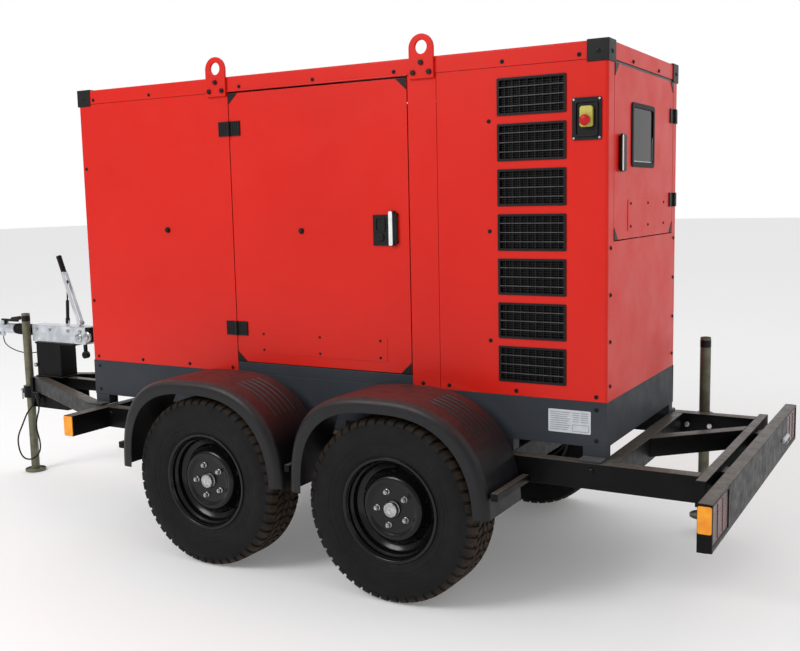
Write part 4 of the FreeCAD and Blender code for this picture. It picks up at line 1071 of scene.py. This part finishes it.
# %% Trailer frame, drawbar and axles
softened("chassis_frame", "trailer_rails", chassis_black, "trailer", 4.0)
softened("drawbar_frame", "drawbar", chassis_black, "trailer", 3.5)
softened("axle_beams", "axle_tubes", chassis_black, "trailer", 5.0)
for end in ("front", "rear"):
    for side in SIDES:
        arm = f"swing_arm_{end}_{side}"
        softened(arm, f"{arm}_forging", chassis_black, arm, 3.0)
bm = bmesh.new()
add_hex(bm, (apex_x, -58, 648), (0, -1, 0), 24, 12)
piece("riser_bolt", bm, plated, "trailer", 0.6)
bm = bmesh.new()
for x in (-1168, -700, 60, 520, 860, 1300):
    for s in (-1, 1):
        add_hex(bm, (x, s * 540, 548), (0, s, 0), 19, 8)
piece("rail_bolts", bm, chassis_black, "trailer", 0.5)
print("trailer frame made")

# %% [markdown]
# ## Mudguards
# Each guard is one moulding: a flattened arch swept across the wheel, rounded over its
# outer shoulder into a broad lip. A superellipse gives the arch, squarer in front than
# behind. Thin ribs stiffen the rear of its crown.

# %% Mudguards
guard_low, guard_high = box_mm("mudguards")
guard_top, guard_foot = guard_high.z, guard_low.z
guard_out, guard_in = guard_high.y, guard_high.y - 312
wheel_mid = [sum(box_mm(f"tyre_{end}_left"), Vector()) / 2 for end in ("front", "rear")]
axle_z = wheel_mid[0].z
guard_a, guard_b = 445.0, guard_top - axle_z


def arch(cx, t, inset):
    """A point on the guard's arch, moved in from its outer line."""
    power = 2 / 3 if t > math.pi / 2 else 2 / 2.4
    c, s = math.cos(t), math.sin(t)
    x = cx + (guard_a - inset) * math.copysign(abs(c) ** power, c)
    return x, max(axle_z + (guard_b - inset) * abs(s) ** power, guard_foot)


def sweep_guard(bm, cx, s, section, t0, t1, steps):
    rings = []
    for k in range(steps + 1):
        t = t0 + (t1 - t0) * k / steps
        ring = []
        for y, inset in section:
            x, z = arch(cx, t, inset)
            ring.append(bm.verts.new(mm(x, s * y, z)))
        rings.append(ring)
    n = len(section)
    for a, b in zip(rings, rings[1:]):
        for j in range(n):
            m = (j + 1) % n
            bm.faces.new((a[j], b[j], b[m], a[m]))
    bm.faces.new(rings[0])
    bm.faces.new(rings[-1][::-1])


shoulder, skin = 34.0, 5.0
section = [(guard_in, 3), (guard_in + 4, 0)]
for k in range(7):
    a = math.radians(90 - 90 * k / 6)
    section.append((guard_out - shoulder + shoulder * math.cos(a),
                    shoulder - shoulder * math.sin(a)))
section += [(guard_out, 60), (guard_out - 2, 62), (guard_out - skin, 60)]
for k in range(7):
    a = math.radians(90 * k / 6)
    section.append((guard_out - shoulder + (shoulder - skin) * math.cos(a),
                    shoulder - (shoulder - skin) * math.sin(a)))
section.append((guard_in, skin))
for end, centre in zip(("front", "rear"), wheel_mid):
    for side, s in SIDES.items():
        bm = bmesh.new()
        sweep_guard(bm, centre.x, s, section, 0.043, math.pi - 0.0198, 96)
        for k in range(5):
            y = guard_in + 70 + 34 * k
            rib = [(y - 4, 1), (y - 2, -4), (y + 2, -4), (y + 4, 1)]
            sweep_guard(bm, centre.x, s, rib, 0.7, 1.28, 16)
        names = ("mudguards",) if (end, side) == ("front", "left") else ()
        piece(f"mudguard_{end}_{side}", bm, guard_plastic, "trailer",
              stands_for=names)
print("four mudguards")

# %% [markdown]
# ## Wheels
# The tyre is a spun carcass with fine rings on its wall and separate tread blocks: three
# staggered rows in the middle and a row of long lugs on each shoulder that run down on to
# the wall. The rim is a gloss black stepped barrel with a domed disc.

# %% Tyres
tyre_low, tyre_high = box_mm("tyre_front_left")
tyre_r, tyre_half = (tyre_high.z - tyre_low.z) / 2, (tyre_high.y - tyre_low.y) / 2


def tread_block(bm, centre, sections, a0, a1, skew):
    """One block, given as (offset, foot radius, top radius) sections across the tread."""
    rows = []
    for y, low_r, top_r in sections:
        turn = skew * y
        ring = []
        for a, r in ((a0 + turn, low_r), (a0 + turn + 0.008, top_r), (a1 + turn - 0.008, top_r),
                     (a1 + turn, low_r)):
            ring.append(bm.verts.new(mm(centre.x + r * math.cos(a), centre.y + y,
                                        centre.z + r * math.sin(a))))
        rows.append(ring)
    for a, b in zip(rows, rows[1:]):
        for j in range(4):
            m = (j + 1) % 4
            bm.faces.new((a[j], b[j], b[m], a[m]))
    bm.faces.new(rows[0])
    bm.faces.new(rows[-1][::-1])


def tyre_piece(name, body, centre, node):
    half = [(201, 87), (206, 89), (214, 90.5), (219, 94), (225, 97.5), (227, 96.6), (230, 98.8),
            (246, 104.5), (248, 103.6), (251, 106), (266, 109), (268, 108), (271, 110.6),
            (288, 113.4), (303, 114.2), (318, 113.6), (320, 112.4), (322, 113.2), (334, 110.5),
            (346, 105), (355, 98), (361, 88), (363, 74), (363.4, 40), (363.5, 0)]
    outer = half + [(r, -o) for r, o in half[-2::-1]]
    inner = [(201, -72), (250, -92), (300, -99), (340, -92), (354, -80), (354, 80), (340, 92),
             (300, 99), (250, 92), (201, 72)]
    bm = bmesh.new()
    add_lathe(bm, outer + inner, tuple(centre), (0, 1, 0), 96, closed=True)
    rows = ((-41, 15.5, 60, 0.0), (0, 15, 60, 0.5), (41, 15.5, 60, 0.0))
    for y, half_w, count, shift in rows:
        pitch = 2 * math.pi / count
        for k in range(count):
            a = pitch * (k + shift)
            lean = 0.0016 if y < 0 else -0.0016
            if y == 0:
                lean = 0.0012 if k % 2 else -0.0012
            sections = [(y - half_w, 360, tyre_r - 1), (y, 360, tyre_r - 0.5),
                        (y + half_w, 360, tyre_r - 1)]
            tread_block(bm, centre, sections, a, a + pitch * 0.8, lean)
    count = 52
    pitch = 2 * math.pi / count
    for side_sign in (-1, 1):
        for k in range(count):
            a = pitch * (k + (0.25 if side_sign > 0 else 0.6))
            long = 346 if k % 2 else 352
            lug = ((62, 359, tyre_r - 0.8), (82, 358, tyre_r - 1.6), (97, 350, tyre_r - 6),
                   (105, 340, tyre_r - 15), (109, long - 12, long))
            sections = [(side_sign * y, low_r, top_r) for y, low_r, top_r in lug]
            tread_block(bm, centre, sections, a, a + pitch * 0.8, 0.0005 * side_sign)
    origin = mm(*centre)
    bmesh.ops.translate(bm, verts=bm.verts, vec=-origin)
    obj = piece(name, bm, tyre_rubber, body, stands_for=(node,))
    obj.parent = None
    obj.matrix_world = Matrix.Translation(origin)
    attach(obj, body)


for end in ("front", "rear"):
    for side in SIDES:
        low, high = box_mm(f"tyre_{end}_{side}")
        tyre_piece(f"tyre_{end}_{side}_rubber", f"wheel_{end}_{side}", (low + high) / 2,
                   f"tyre_{end}_{side}")
print("tyres", round(2 * tyre_r), "mm across,", round(2 * tyre_half), "mm wide")

# %% Rims, nuts and hub caps
stud_circle, dimple_circle = 69.85, 141
for end in ("front", "rear"):
    for side, s in SIDES.items():
        low, high = box_mm(f"tyre_{end}_{side}")
        centre = (low + high) / 2
        spot, out = tuple(centre), (0, s, 0)
        bm = bmesh.new()
        add_lathe(bm, [(200, 90), (206, 91), (210.5, 92.5), (211, 95), (208, 96.5), (202, 96),
                       (198.5, 93), (196, 86), (194, 84), (194, -95), (210, -96), (210, -92),
                       (200, -90)], spot, out, 72, closed=True)
        add_lathe(bm, [(196, 86), (194.5, 72), (190, 66), (184, 62), (182, 58), (181, 44),
                       (176, 38), (168, 34), (162, 30), (156, 28), (150, 32), (143, 42),
                       (137, 55), (131, 64), (125, 69), (117, 71), (110, 70), (103, 66),
                       (96, 63.5), (88, 63), (36, 63), (36, 58), (94, 58), (108, 63),
                       (120, 64), (130, 56), (140, 36), (150, 25), (164, 24), (178, 32),
                       (186, 42), (188, 56), (194, 62)], spot, out, 72, closed=True)
        for k in range(10):
            a = math.radians(36 * k + 18)
            x = centre.x + dimple_circle * math.cos(a)
            z = centre.z + dimple_circle * math.sin(a)
            normal = (0.7 * math.cos(a), s * 0.7, 0.7 * math.sin(a))
            add_lathe(bm, [(12, -0.5), (12, 1.2), (9, 1.8), (8, 0.2), (0.001, 0.1)],
                      (x, centre.y + s * 44.5, z), normal, 20)
        piece(f"rim_{end}_{side}_steel", bm, wheel_black, f"wheel_{end}_{side}",
              stands_for=(f"rim_{end}_{side}",))
        bm = bmesh.new()
        for k in range(5):
            a = math.radians(39 + 72 * k)
            x = centre.x + stud_circle * math.cos(a)
            z = centre.z + stud_circle * math.sin(a)
            add_lathe(bm, [(14, 0), (13, 3), (10.6, 4.5)], (x, centre.y + s * 63, z), out, 24)
            add_hex(bm, (x, centre.y + s * 64, z), out, 19, 13)
            add_lathe(bm, [(6, 13), (6, 16), (4.8, 17.5), (0.001, 17.5)],
                      (x, centre.y + s * 64, z), out, 16)
        add_lathe(bm, [(33, 63), (33, 67), (31, 69), (30, 72), (30, 80), (28.5, 84), (24, 86),
                       (21, 86), (20, 84), (12, 83), (0.001, 83)], spot, out, 40)
        piece(f"hub_{end}_{side}_nuts", bm, plated, f"wheel_{end}_{side}")
        bm = bmesh.new()
        add_lathe(bm, [(0.001, 57), (88, 57), (134, 44), (134, -30), (128, -30), (128, 38),
                       (46, 44), (46, -30), (0.001, 44)], spot, out, 48)
        piece(f"drum_{end}_{side}", bm, chassis_black, f"wheel_{end}_{side}")
print("rims with five nuts each")

# %% [markdown]
# ## Lamps and light bar
# The light bar is a pressed channel with a lamp let into each end of its rear face and an
# amber marker over each tip. The number-plate lamp is a small white barrel.

# %% Light bar and lamps
softened("rear_light_bar", "light_bar", chassis_black, "trailer", 4.0)
bar_low, bar_high = box_mm("rear_light_bar")
bm = bmesh.new()
for s in (-1, 1):
    add_box(bm, bar_low.x + 1, bar_high.x - 1, s * (bar_high.y - 3), s * (bar_high.y + 1),
            bar_low.z + 1, bar_high.z - 1)
    add_box(bm, bar_low.x - 69, bar_low.x - 33, s * 592, s * 596, 482, 576)
piece("beam_end_plates", bm, chassis_black, "trailer", 1.0)
bm = bmesh.new()
glass = bmesh.new()
for low, high, part in loose_parts("tail_lamps"):
    part.free()
    if high.z - low.z < 40:
        middle = (low + high) / 2
        add_rod(bm, (low.x + 0.5, low.y + 1, middle.z), (low.x + 0.5, high.y - 1, middle.z),
                11.4, 28, 2)
        continue
    outline = rounded(low.y, high.y, low.z, high.z, 14)
    add_prism(glass, [(low.x, y, z) for y, z in outline], (high.x - low.x - 1, 0, 0))
    for k in (1, 2):
        y = low.y + (high.y - low.y) * k / 3
        add_box(glass, high.x - 2, high.x + 0.6, y - 1.6, y + 1.6, low.z + 6, high.z - 6)
piece("plate_lamp", bm, label_white, "trailer")
piece("tail_lamp_lenses", glass, red_lens, "trailer", 2.5, 3,
      stands_for=("tail_lamps",))
bm = bmesh.new()
for low, high, part in loose_parts("side_markers"):
    part.free()
    s = math.copysign(1, low.y)
    face = low.y if s > 0 else high.y
    depth = abs(high.y - low.y)
    outline = rounded(low.x, high.x, low.z, high.z, 7)
    add_prism(bm, [(x, face, z) for x, z in outline], (0, s * depth, 0))
piece("amber_markers", bm, amber_lens, "trailer", 1.6, 3,
      stands_for=("side_markers",))
bm = bmesh.new()
for low, high, part in loose_parts("side_markers"):
    part.free()
    s = math.copysign(1, low.y)
    out = (high.y if s > 0 else -low.y) - W - 0.5
    middle = (low + high) / 2
    add_ring_plate(bm, rounded(low.x + 5, high.x - 5, middle.z - 3, high.z - 5, 4),
                   rounded(low.x + 7, high.x - 7, middle.z - 1, high.z - 7, 3),
                   on_side(s, out), (0, s * 0.4, 0))
piece("marker_inner_frames", bm, amber_lens, "trailer")
print("light bar, lenses and markers")

# %% [markdown]
# ## Towing gear
# The overrun housing is bright zinc with a black block at its back. The draw tube slides
# in it under a rubber gaiter, which folds up as the coupling is pushed in.

# %% Overrun housing, coupling and gaiter
house_low, house_high = max(((p[0], p[1]) for p in loose_parts("overrun_housing")),
                            key=lambda p: (p[1] - p[0]).length)
back_x = house_high.x


def is_black_iron(low, high):
    return low.x > back_x - 60 and high.x > back_x - 12 and low.z < house_high.z - 30


def is_bright(low, high):
    return not is_black_iron(low, high)


softened("overrun_housing", "overrun_body", bright_zinc, "trailer", 5.0,
         is_bright)
softened("overrun_housing", "overrun_end_block", chassis_black, "trailer", 3.0,
         is_black_iron, False)
bm = bmesh.new()
mid_z = (house_low.z + house_high.z) / 2
for x in (house_low.x + 40, house_low.x + 150, house_low.x + 300, back_x - 40):
    add_hex(bm, (x, -50, mid_z + 24), (0, -1, 0), 17, 8)
add_lathe(bm, [(34, 0), (34, 6), (30, 9), (22, 9), (20, 14), (12, 16), (0.001, 16)],
          (back_x + 4, -40, mid_z - 6), (0, -1, 0), 36)
add_lathe(bm, [(26, 0), (26, 5), (20, 8), (8, 8), (8, 12), (0.001, 12)],
          (back_x - 52, -50, mid_z - 14), (0, -1, 0), 32)
piece("overrun_fasteners", bm, plated, "trailer", 0.4)


def is_head(low, high):
    return high.x < house_low.x - 150


def is_draw_tube(low, high):
    return not is_head(low, high)


softened("coupling_head", "coupling_ball_head", bright_zinc, "coupling_head",
         4.0, is_head)
softened("coupling_head", "coupling_draw_tube", polished, "coupling_head",
         1.0, is_draw_tube, False)
softened("coupling_latch", "coupling_latch_handle", fitting_black, "coupling_latch",
         2.0)
gaiter_low, gaiter_high = box_mm("coupling_bellows")
gx0, gx1 = gaiter_low.x, gaiter_high.x
gz = (gaiter_low.z + gaiter_high.z) / 2
folds = 9
profile = [(27.4, 0), (31, 0), (31, 7)]
run = gx1 - gx0 - 14
for k in range(folds * 8 + 1):
    swell = 0.5 - 0.5 * math.cos(2 * math.pi * k / 8)
    profile.append((29 + 4.8 * swell ** 0.8, 7 + run * k / (folds * 8)))
profile += [(31, gx1 - gx0 - 7), (31, gx1 - gx0), (27.4, gx1 - gx0), (27.4, run / 2 + 7)]
bm = bmesh.new()
add_lathe(bm, profile, (gx0, 0, gz), (1, 0, 0), 40, closed=True)
gaiter = piece("coupling_gaiter", bm, grip_rubber, "trailer",
               stands_for=("coupling_bellows",))
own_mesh(gaiter)

# %% [markdown]
# The handbrake is two bright straps with a ribbed rubber grip, held by a gas strut. Both
# prop stands are galvanised tubes with a round foot, a rolled rim and a dark collar.

# %% Handbrake and gas strut
softened("handbrake_lever", "handbrake_straps", bright_zinc, "handbrake_lever",
         1.5)
pivot = Vector((back_x - 85, 0, house_high.z + 18))
strap_x, strap_z = -90, 235      # from the pivot to the top of the straps
lean = Vector((strap_x, 0, strap_z)).normalized()
grip_start = pivot + lean * (math.hypot(strap_x, strap_z) + 58)
profile = [(0.001, 0), (14.5, 0), (15.6, 2), (15.6, 5)]
for k in range(12):
    profile += [(14.6, 8 + 7 * k), (15.6, 11.5 + 7 * k)]
profile += [(15.8, 95), (14.5, 100.5), (8, 102.5), (0.001, 102.5)]
bm = bmesh.new()
add_lathe(bm, profile, tuple(grip_start), tuple(lean), 28)
piece("handbrake_grip", bm, grip_rubber, "handbrake_lever")
softened("gas_strut_cylinder", "strut_cylinder", fitting_black, "gas_strut_cylinder",
         0.8)
softened("gas_strut_rod", "strut_rod", wheel_black, "gas_strut_rod", 0.6)
print("handbrake and strut made")

# %% Prop stands and clamps
for end in ("front", "rear"):
    node = f"{end}_stand"
    low, high = box_mm(node)
    cx, cy = (low.x + high.x) / 2, (low.y + high.y) / 2
    foot, tall_by = (cx, cy, low.z), high.z - low.z
    bm = bmesh.new()
    add_lathe(bm, [(0.001, 0), (54, 0), (60, 3), (60, 14), (58, 16), (55, 16), (54, 13),
                   (54, 9), (52, 7.5), (30, 8), (26, 11), (24, 16), (24, tall_by - 3),
                   (22.5, tall_by), (20, tall_by), (20, 60)], foot, (0, 0, 1), 44)
    piece(f"{node}_pole", bm, stand_zinc, node, stands_for=(node,))
    bm = bmesh.new()
    add_lathe(bm, [(24.1, tall_by - 46), (24.7, tall_by - 45), (24.7, tall_by - 14),
                   (24.1, tall_by - 13)], foot, (0, 0, 1), 40)
    piece(f"{node}_collar", bm, cap_plastic, node)
    softened(f"{end}_clamp_screw", f"{end}_clamp_handle", plated, f"{end}_clamp_screw",
             1.0)
softened("stand_clamps", "stand_clamp_rings", chassis_black, "trailer", 3.0)
bm = bmesh.new()
add_hex(bm, (apex_x + 84, -95, 491), (0, -1, 0), 19, 9)
for x in (1405, 1505):
    add_hex(bm, (x, 468.5, 530), (0, -1, 0), 22, 8)
piece("clamp_bolts", bm, plated, "trailer", 0.5)
print("stands and clamps made")

# %% [markdown]
# ## Machinery behind the doors
# The castings keep the frame's shapes with softened edges. The engine gains rocker cover
# ribs and screws, the radiator its tubes, and the cabinet a screen and keys.

# %% Engine, alternator and exhaust
softened("engine_block", "engine_castings", engine_enamel, "trailer", 7.0)
softened("alternator", "alternator_casing", engine_enamel, "trailer", 6.0)
softened("exhaust_silencer", "silencer", hot_steel, "trailer", 3.0)
bm = bmesh.new()
for x in range(-560, 181, 74):
    for s in (-1, 1):
        add_hex(bm, (x, s * 132, 1440), (0, 0, 1), 13, 8)
for x in range(300, 841, 60):
    add_lathe(bm, [(254, 0), (259, 3), (259, 9), (254, 12)], (x, 0, 1120), (1, 0, 0), 64)
for k in range(12):
    x = -585 + 65 * k
    for s in (-1, 1):
        add_box(bm, x, x + 8, s * 189, s * 199, 980, 1280)
piece("engine_ribs", bm, engine_enamel, "trailer", 1.5)
bm = bmesh.new()
for x in (-460, -255, -50, 155):
    add_lathe(bm, [(126, 0), (128, 2), (128, 16), (126, 18)], (x, 0, 1790), (1, 0, 0), 56)
piece("silencer_bands", bm, hot_steel, "trailer", 1.0)
print("engine, alternator and silencer dressed")

# %% Radiator, fan, cabinet, battery and posts
def is_core(low, high):
    return high.x - low.x < 40 and high.z - low.z > 850 and high.x < -940


def is_surround(low, high):
    return not is_core(low, high)


softened("radiator", "radiator_surround", chassis_black, "trailer", 2.5,
         is_surround)
softened("radiator", "radiator_core", core_metal, "trailer", 1.0, is_core,
         False)
tubes, core_half = 44, 372
bm = bmesh.new()
for k in range(tubes):
    y = -core_half + 2 * core_half * k / (tubes - 1)
    add_box(bm, -998, -993.5, y - 2, y + 2, 884, 1796)
piece("radiator_tubes", bm, core_metal, "trailer")
softened("cooling_fan", "fan_blades", cap_plastic, "cooling_fan", 2.0)
softened("control_panel", "control_cabinet", cabinet_grey, "trailer", 3.0)
bm = bmesh.new()
add_box(bm, 1262, 1263.2, -142, 52, 1738, 1862)
piece("control_screen", bm, window_glass, "trailer")
bm = bmesh.new()
for k in range(6):
    add_lathe(bm, [(13, 0), (13, 4), (10, 7), (0.001, 7)], (1250, -130 + 34 * k, 1690),
              (1, 0, 0), 24)
piece("control_keys", bm, cap_plastic, "trailer")
softened("battery", "battery_case", cap_plastic, "trailer", 4.0)
softened("canopy_posts", "inner_posts", inner_grey, "trailer", 2.0)
print("cooling pack, cabinet, battery and posts dressed")

# %% [markdown]
# Any CAD part that is still showing gets the inner frame grey finish, so that nothing is left
# in a plain default.

# %% Finishes for the CAD parts that stay
kept = {}
for name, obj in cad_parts.items():
    if not obj.hide_render:
        obj.data.materials.clear()
        obj.data.materials.append(inner_grey)
        kept[name] = inner_grey.name
print("CAD parts still showing:", kept)

# %% [markdown]
# ## Studio
# A pale floor, a broad soft light from the front left, a weaker one from the rear and a
# white surround keep the shadows soft, as on an overcast day. The floor glows faintly, and
# the surround is brighter behind the machine than in front of it, so that the black paint
# stays black.

# %% Floor and light
floor_white, floor_glow = 0.92, 0.14
key_power, rear_power = 430, 35
floor_mesh = bpy.data.meshes.new("floor")
floor_bm = bmesh.new()
bmesh.ops.create_grid(floor_bm, x_segments=1, y_segments=1, size=60)
floor_bm.to_mesh(floor_mesh)
floor_bm.free()
floor = bpy.data.objects.new("floor", floor_mesh)
floor.location.z = -0.0005
scene.collection.objects.link(floor)
pale = bpy.data.materials.new("pale_floor")
pale.use_nodes = True
pale_shader = pale.node_tree.nodes["Principled BSDF"]
pale_shader.inputs["Base Color"].default_value = (*[floor_white] * 3, 1)
pale_shader.inputs["Roughness"].default_value = 0.9
pale_shader.inputs["Specular IOR Level"].default_value = 0.1
pale_shader.inputs["Emission Color"].default_value = (1, 1, 1, 1)
pale_shader.inputs["Emission Strength"].default_value = floor_glow
floor_mesh.materials.append(pale)


def soft_light(name, place, aim, size, power):
    data = bpy.data.lights.new(name, "AREA")
    data.shape = "DISK"
    data.size = size
    data.energy = power
    lamp = bpy.data.objects.new(name, data)
    lamp.location = place
    lamp.rotation_euler = (Vector(aim) - Vector(place)).to_track_quat("-Z", "Y").to_euler()
    scene.collection.objects.link(lamp)


soft_light("key_light", (-3.0, -7.5, 6.5), (0.2, 0, 1.0), 4.5, key_power)
soft_light("rear_light", (8.0, -2.5, 4.0), (1.5, 0, 1.2), 4.0, rear_power)
world = bpy.data.worlds.new("soft_white")
scene.world = world
world.use_nodes = True
sky = world.node_tree
direction = sky.nodes.new("ShaderNodeTexCoord").outputs["Generated"]
parts = sky.nodes.new("ShaderNodeSeparateXYZ")
join_up(sky, direction, parts.inputs["Vector"])
glow = spread(sky, parts.outputs["Y"], -0.1, 0.4, 0.5, 1.0)
sky.nodes["Background"].inputs["Color"].default_value = (1, 1, 1, 1)
join_up(sky, glow, sky.nodes["Background"].inputs["Strength"])
scene.view_settings.view_transform = "Standard"
print("studio ready")
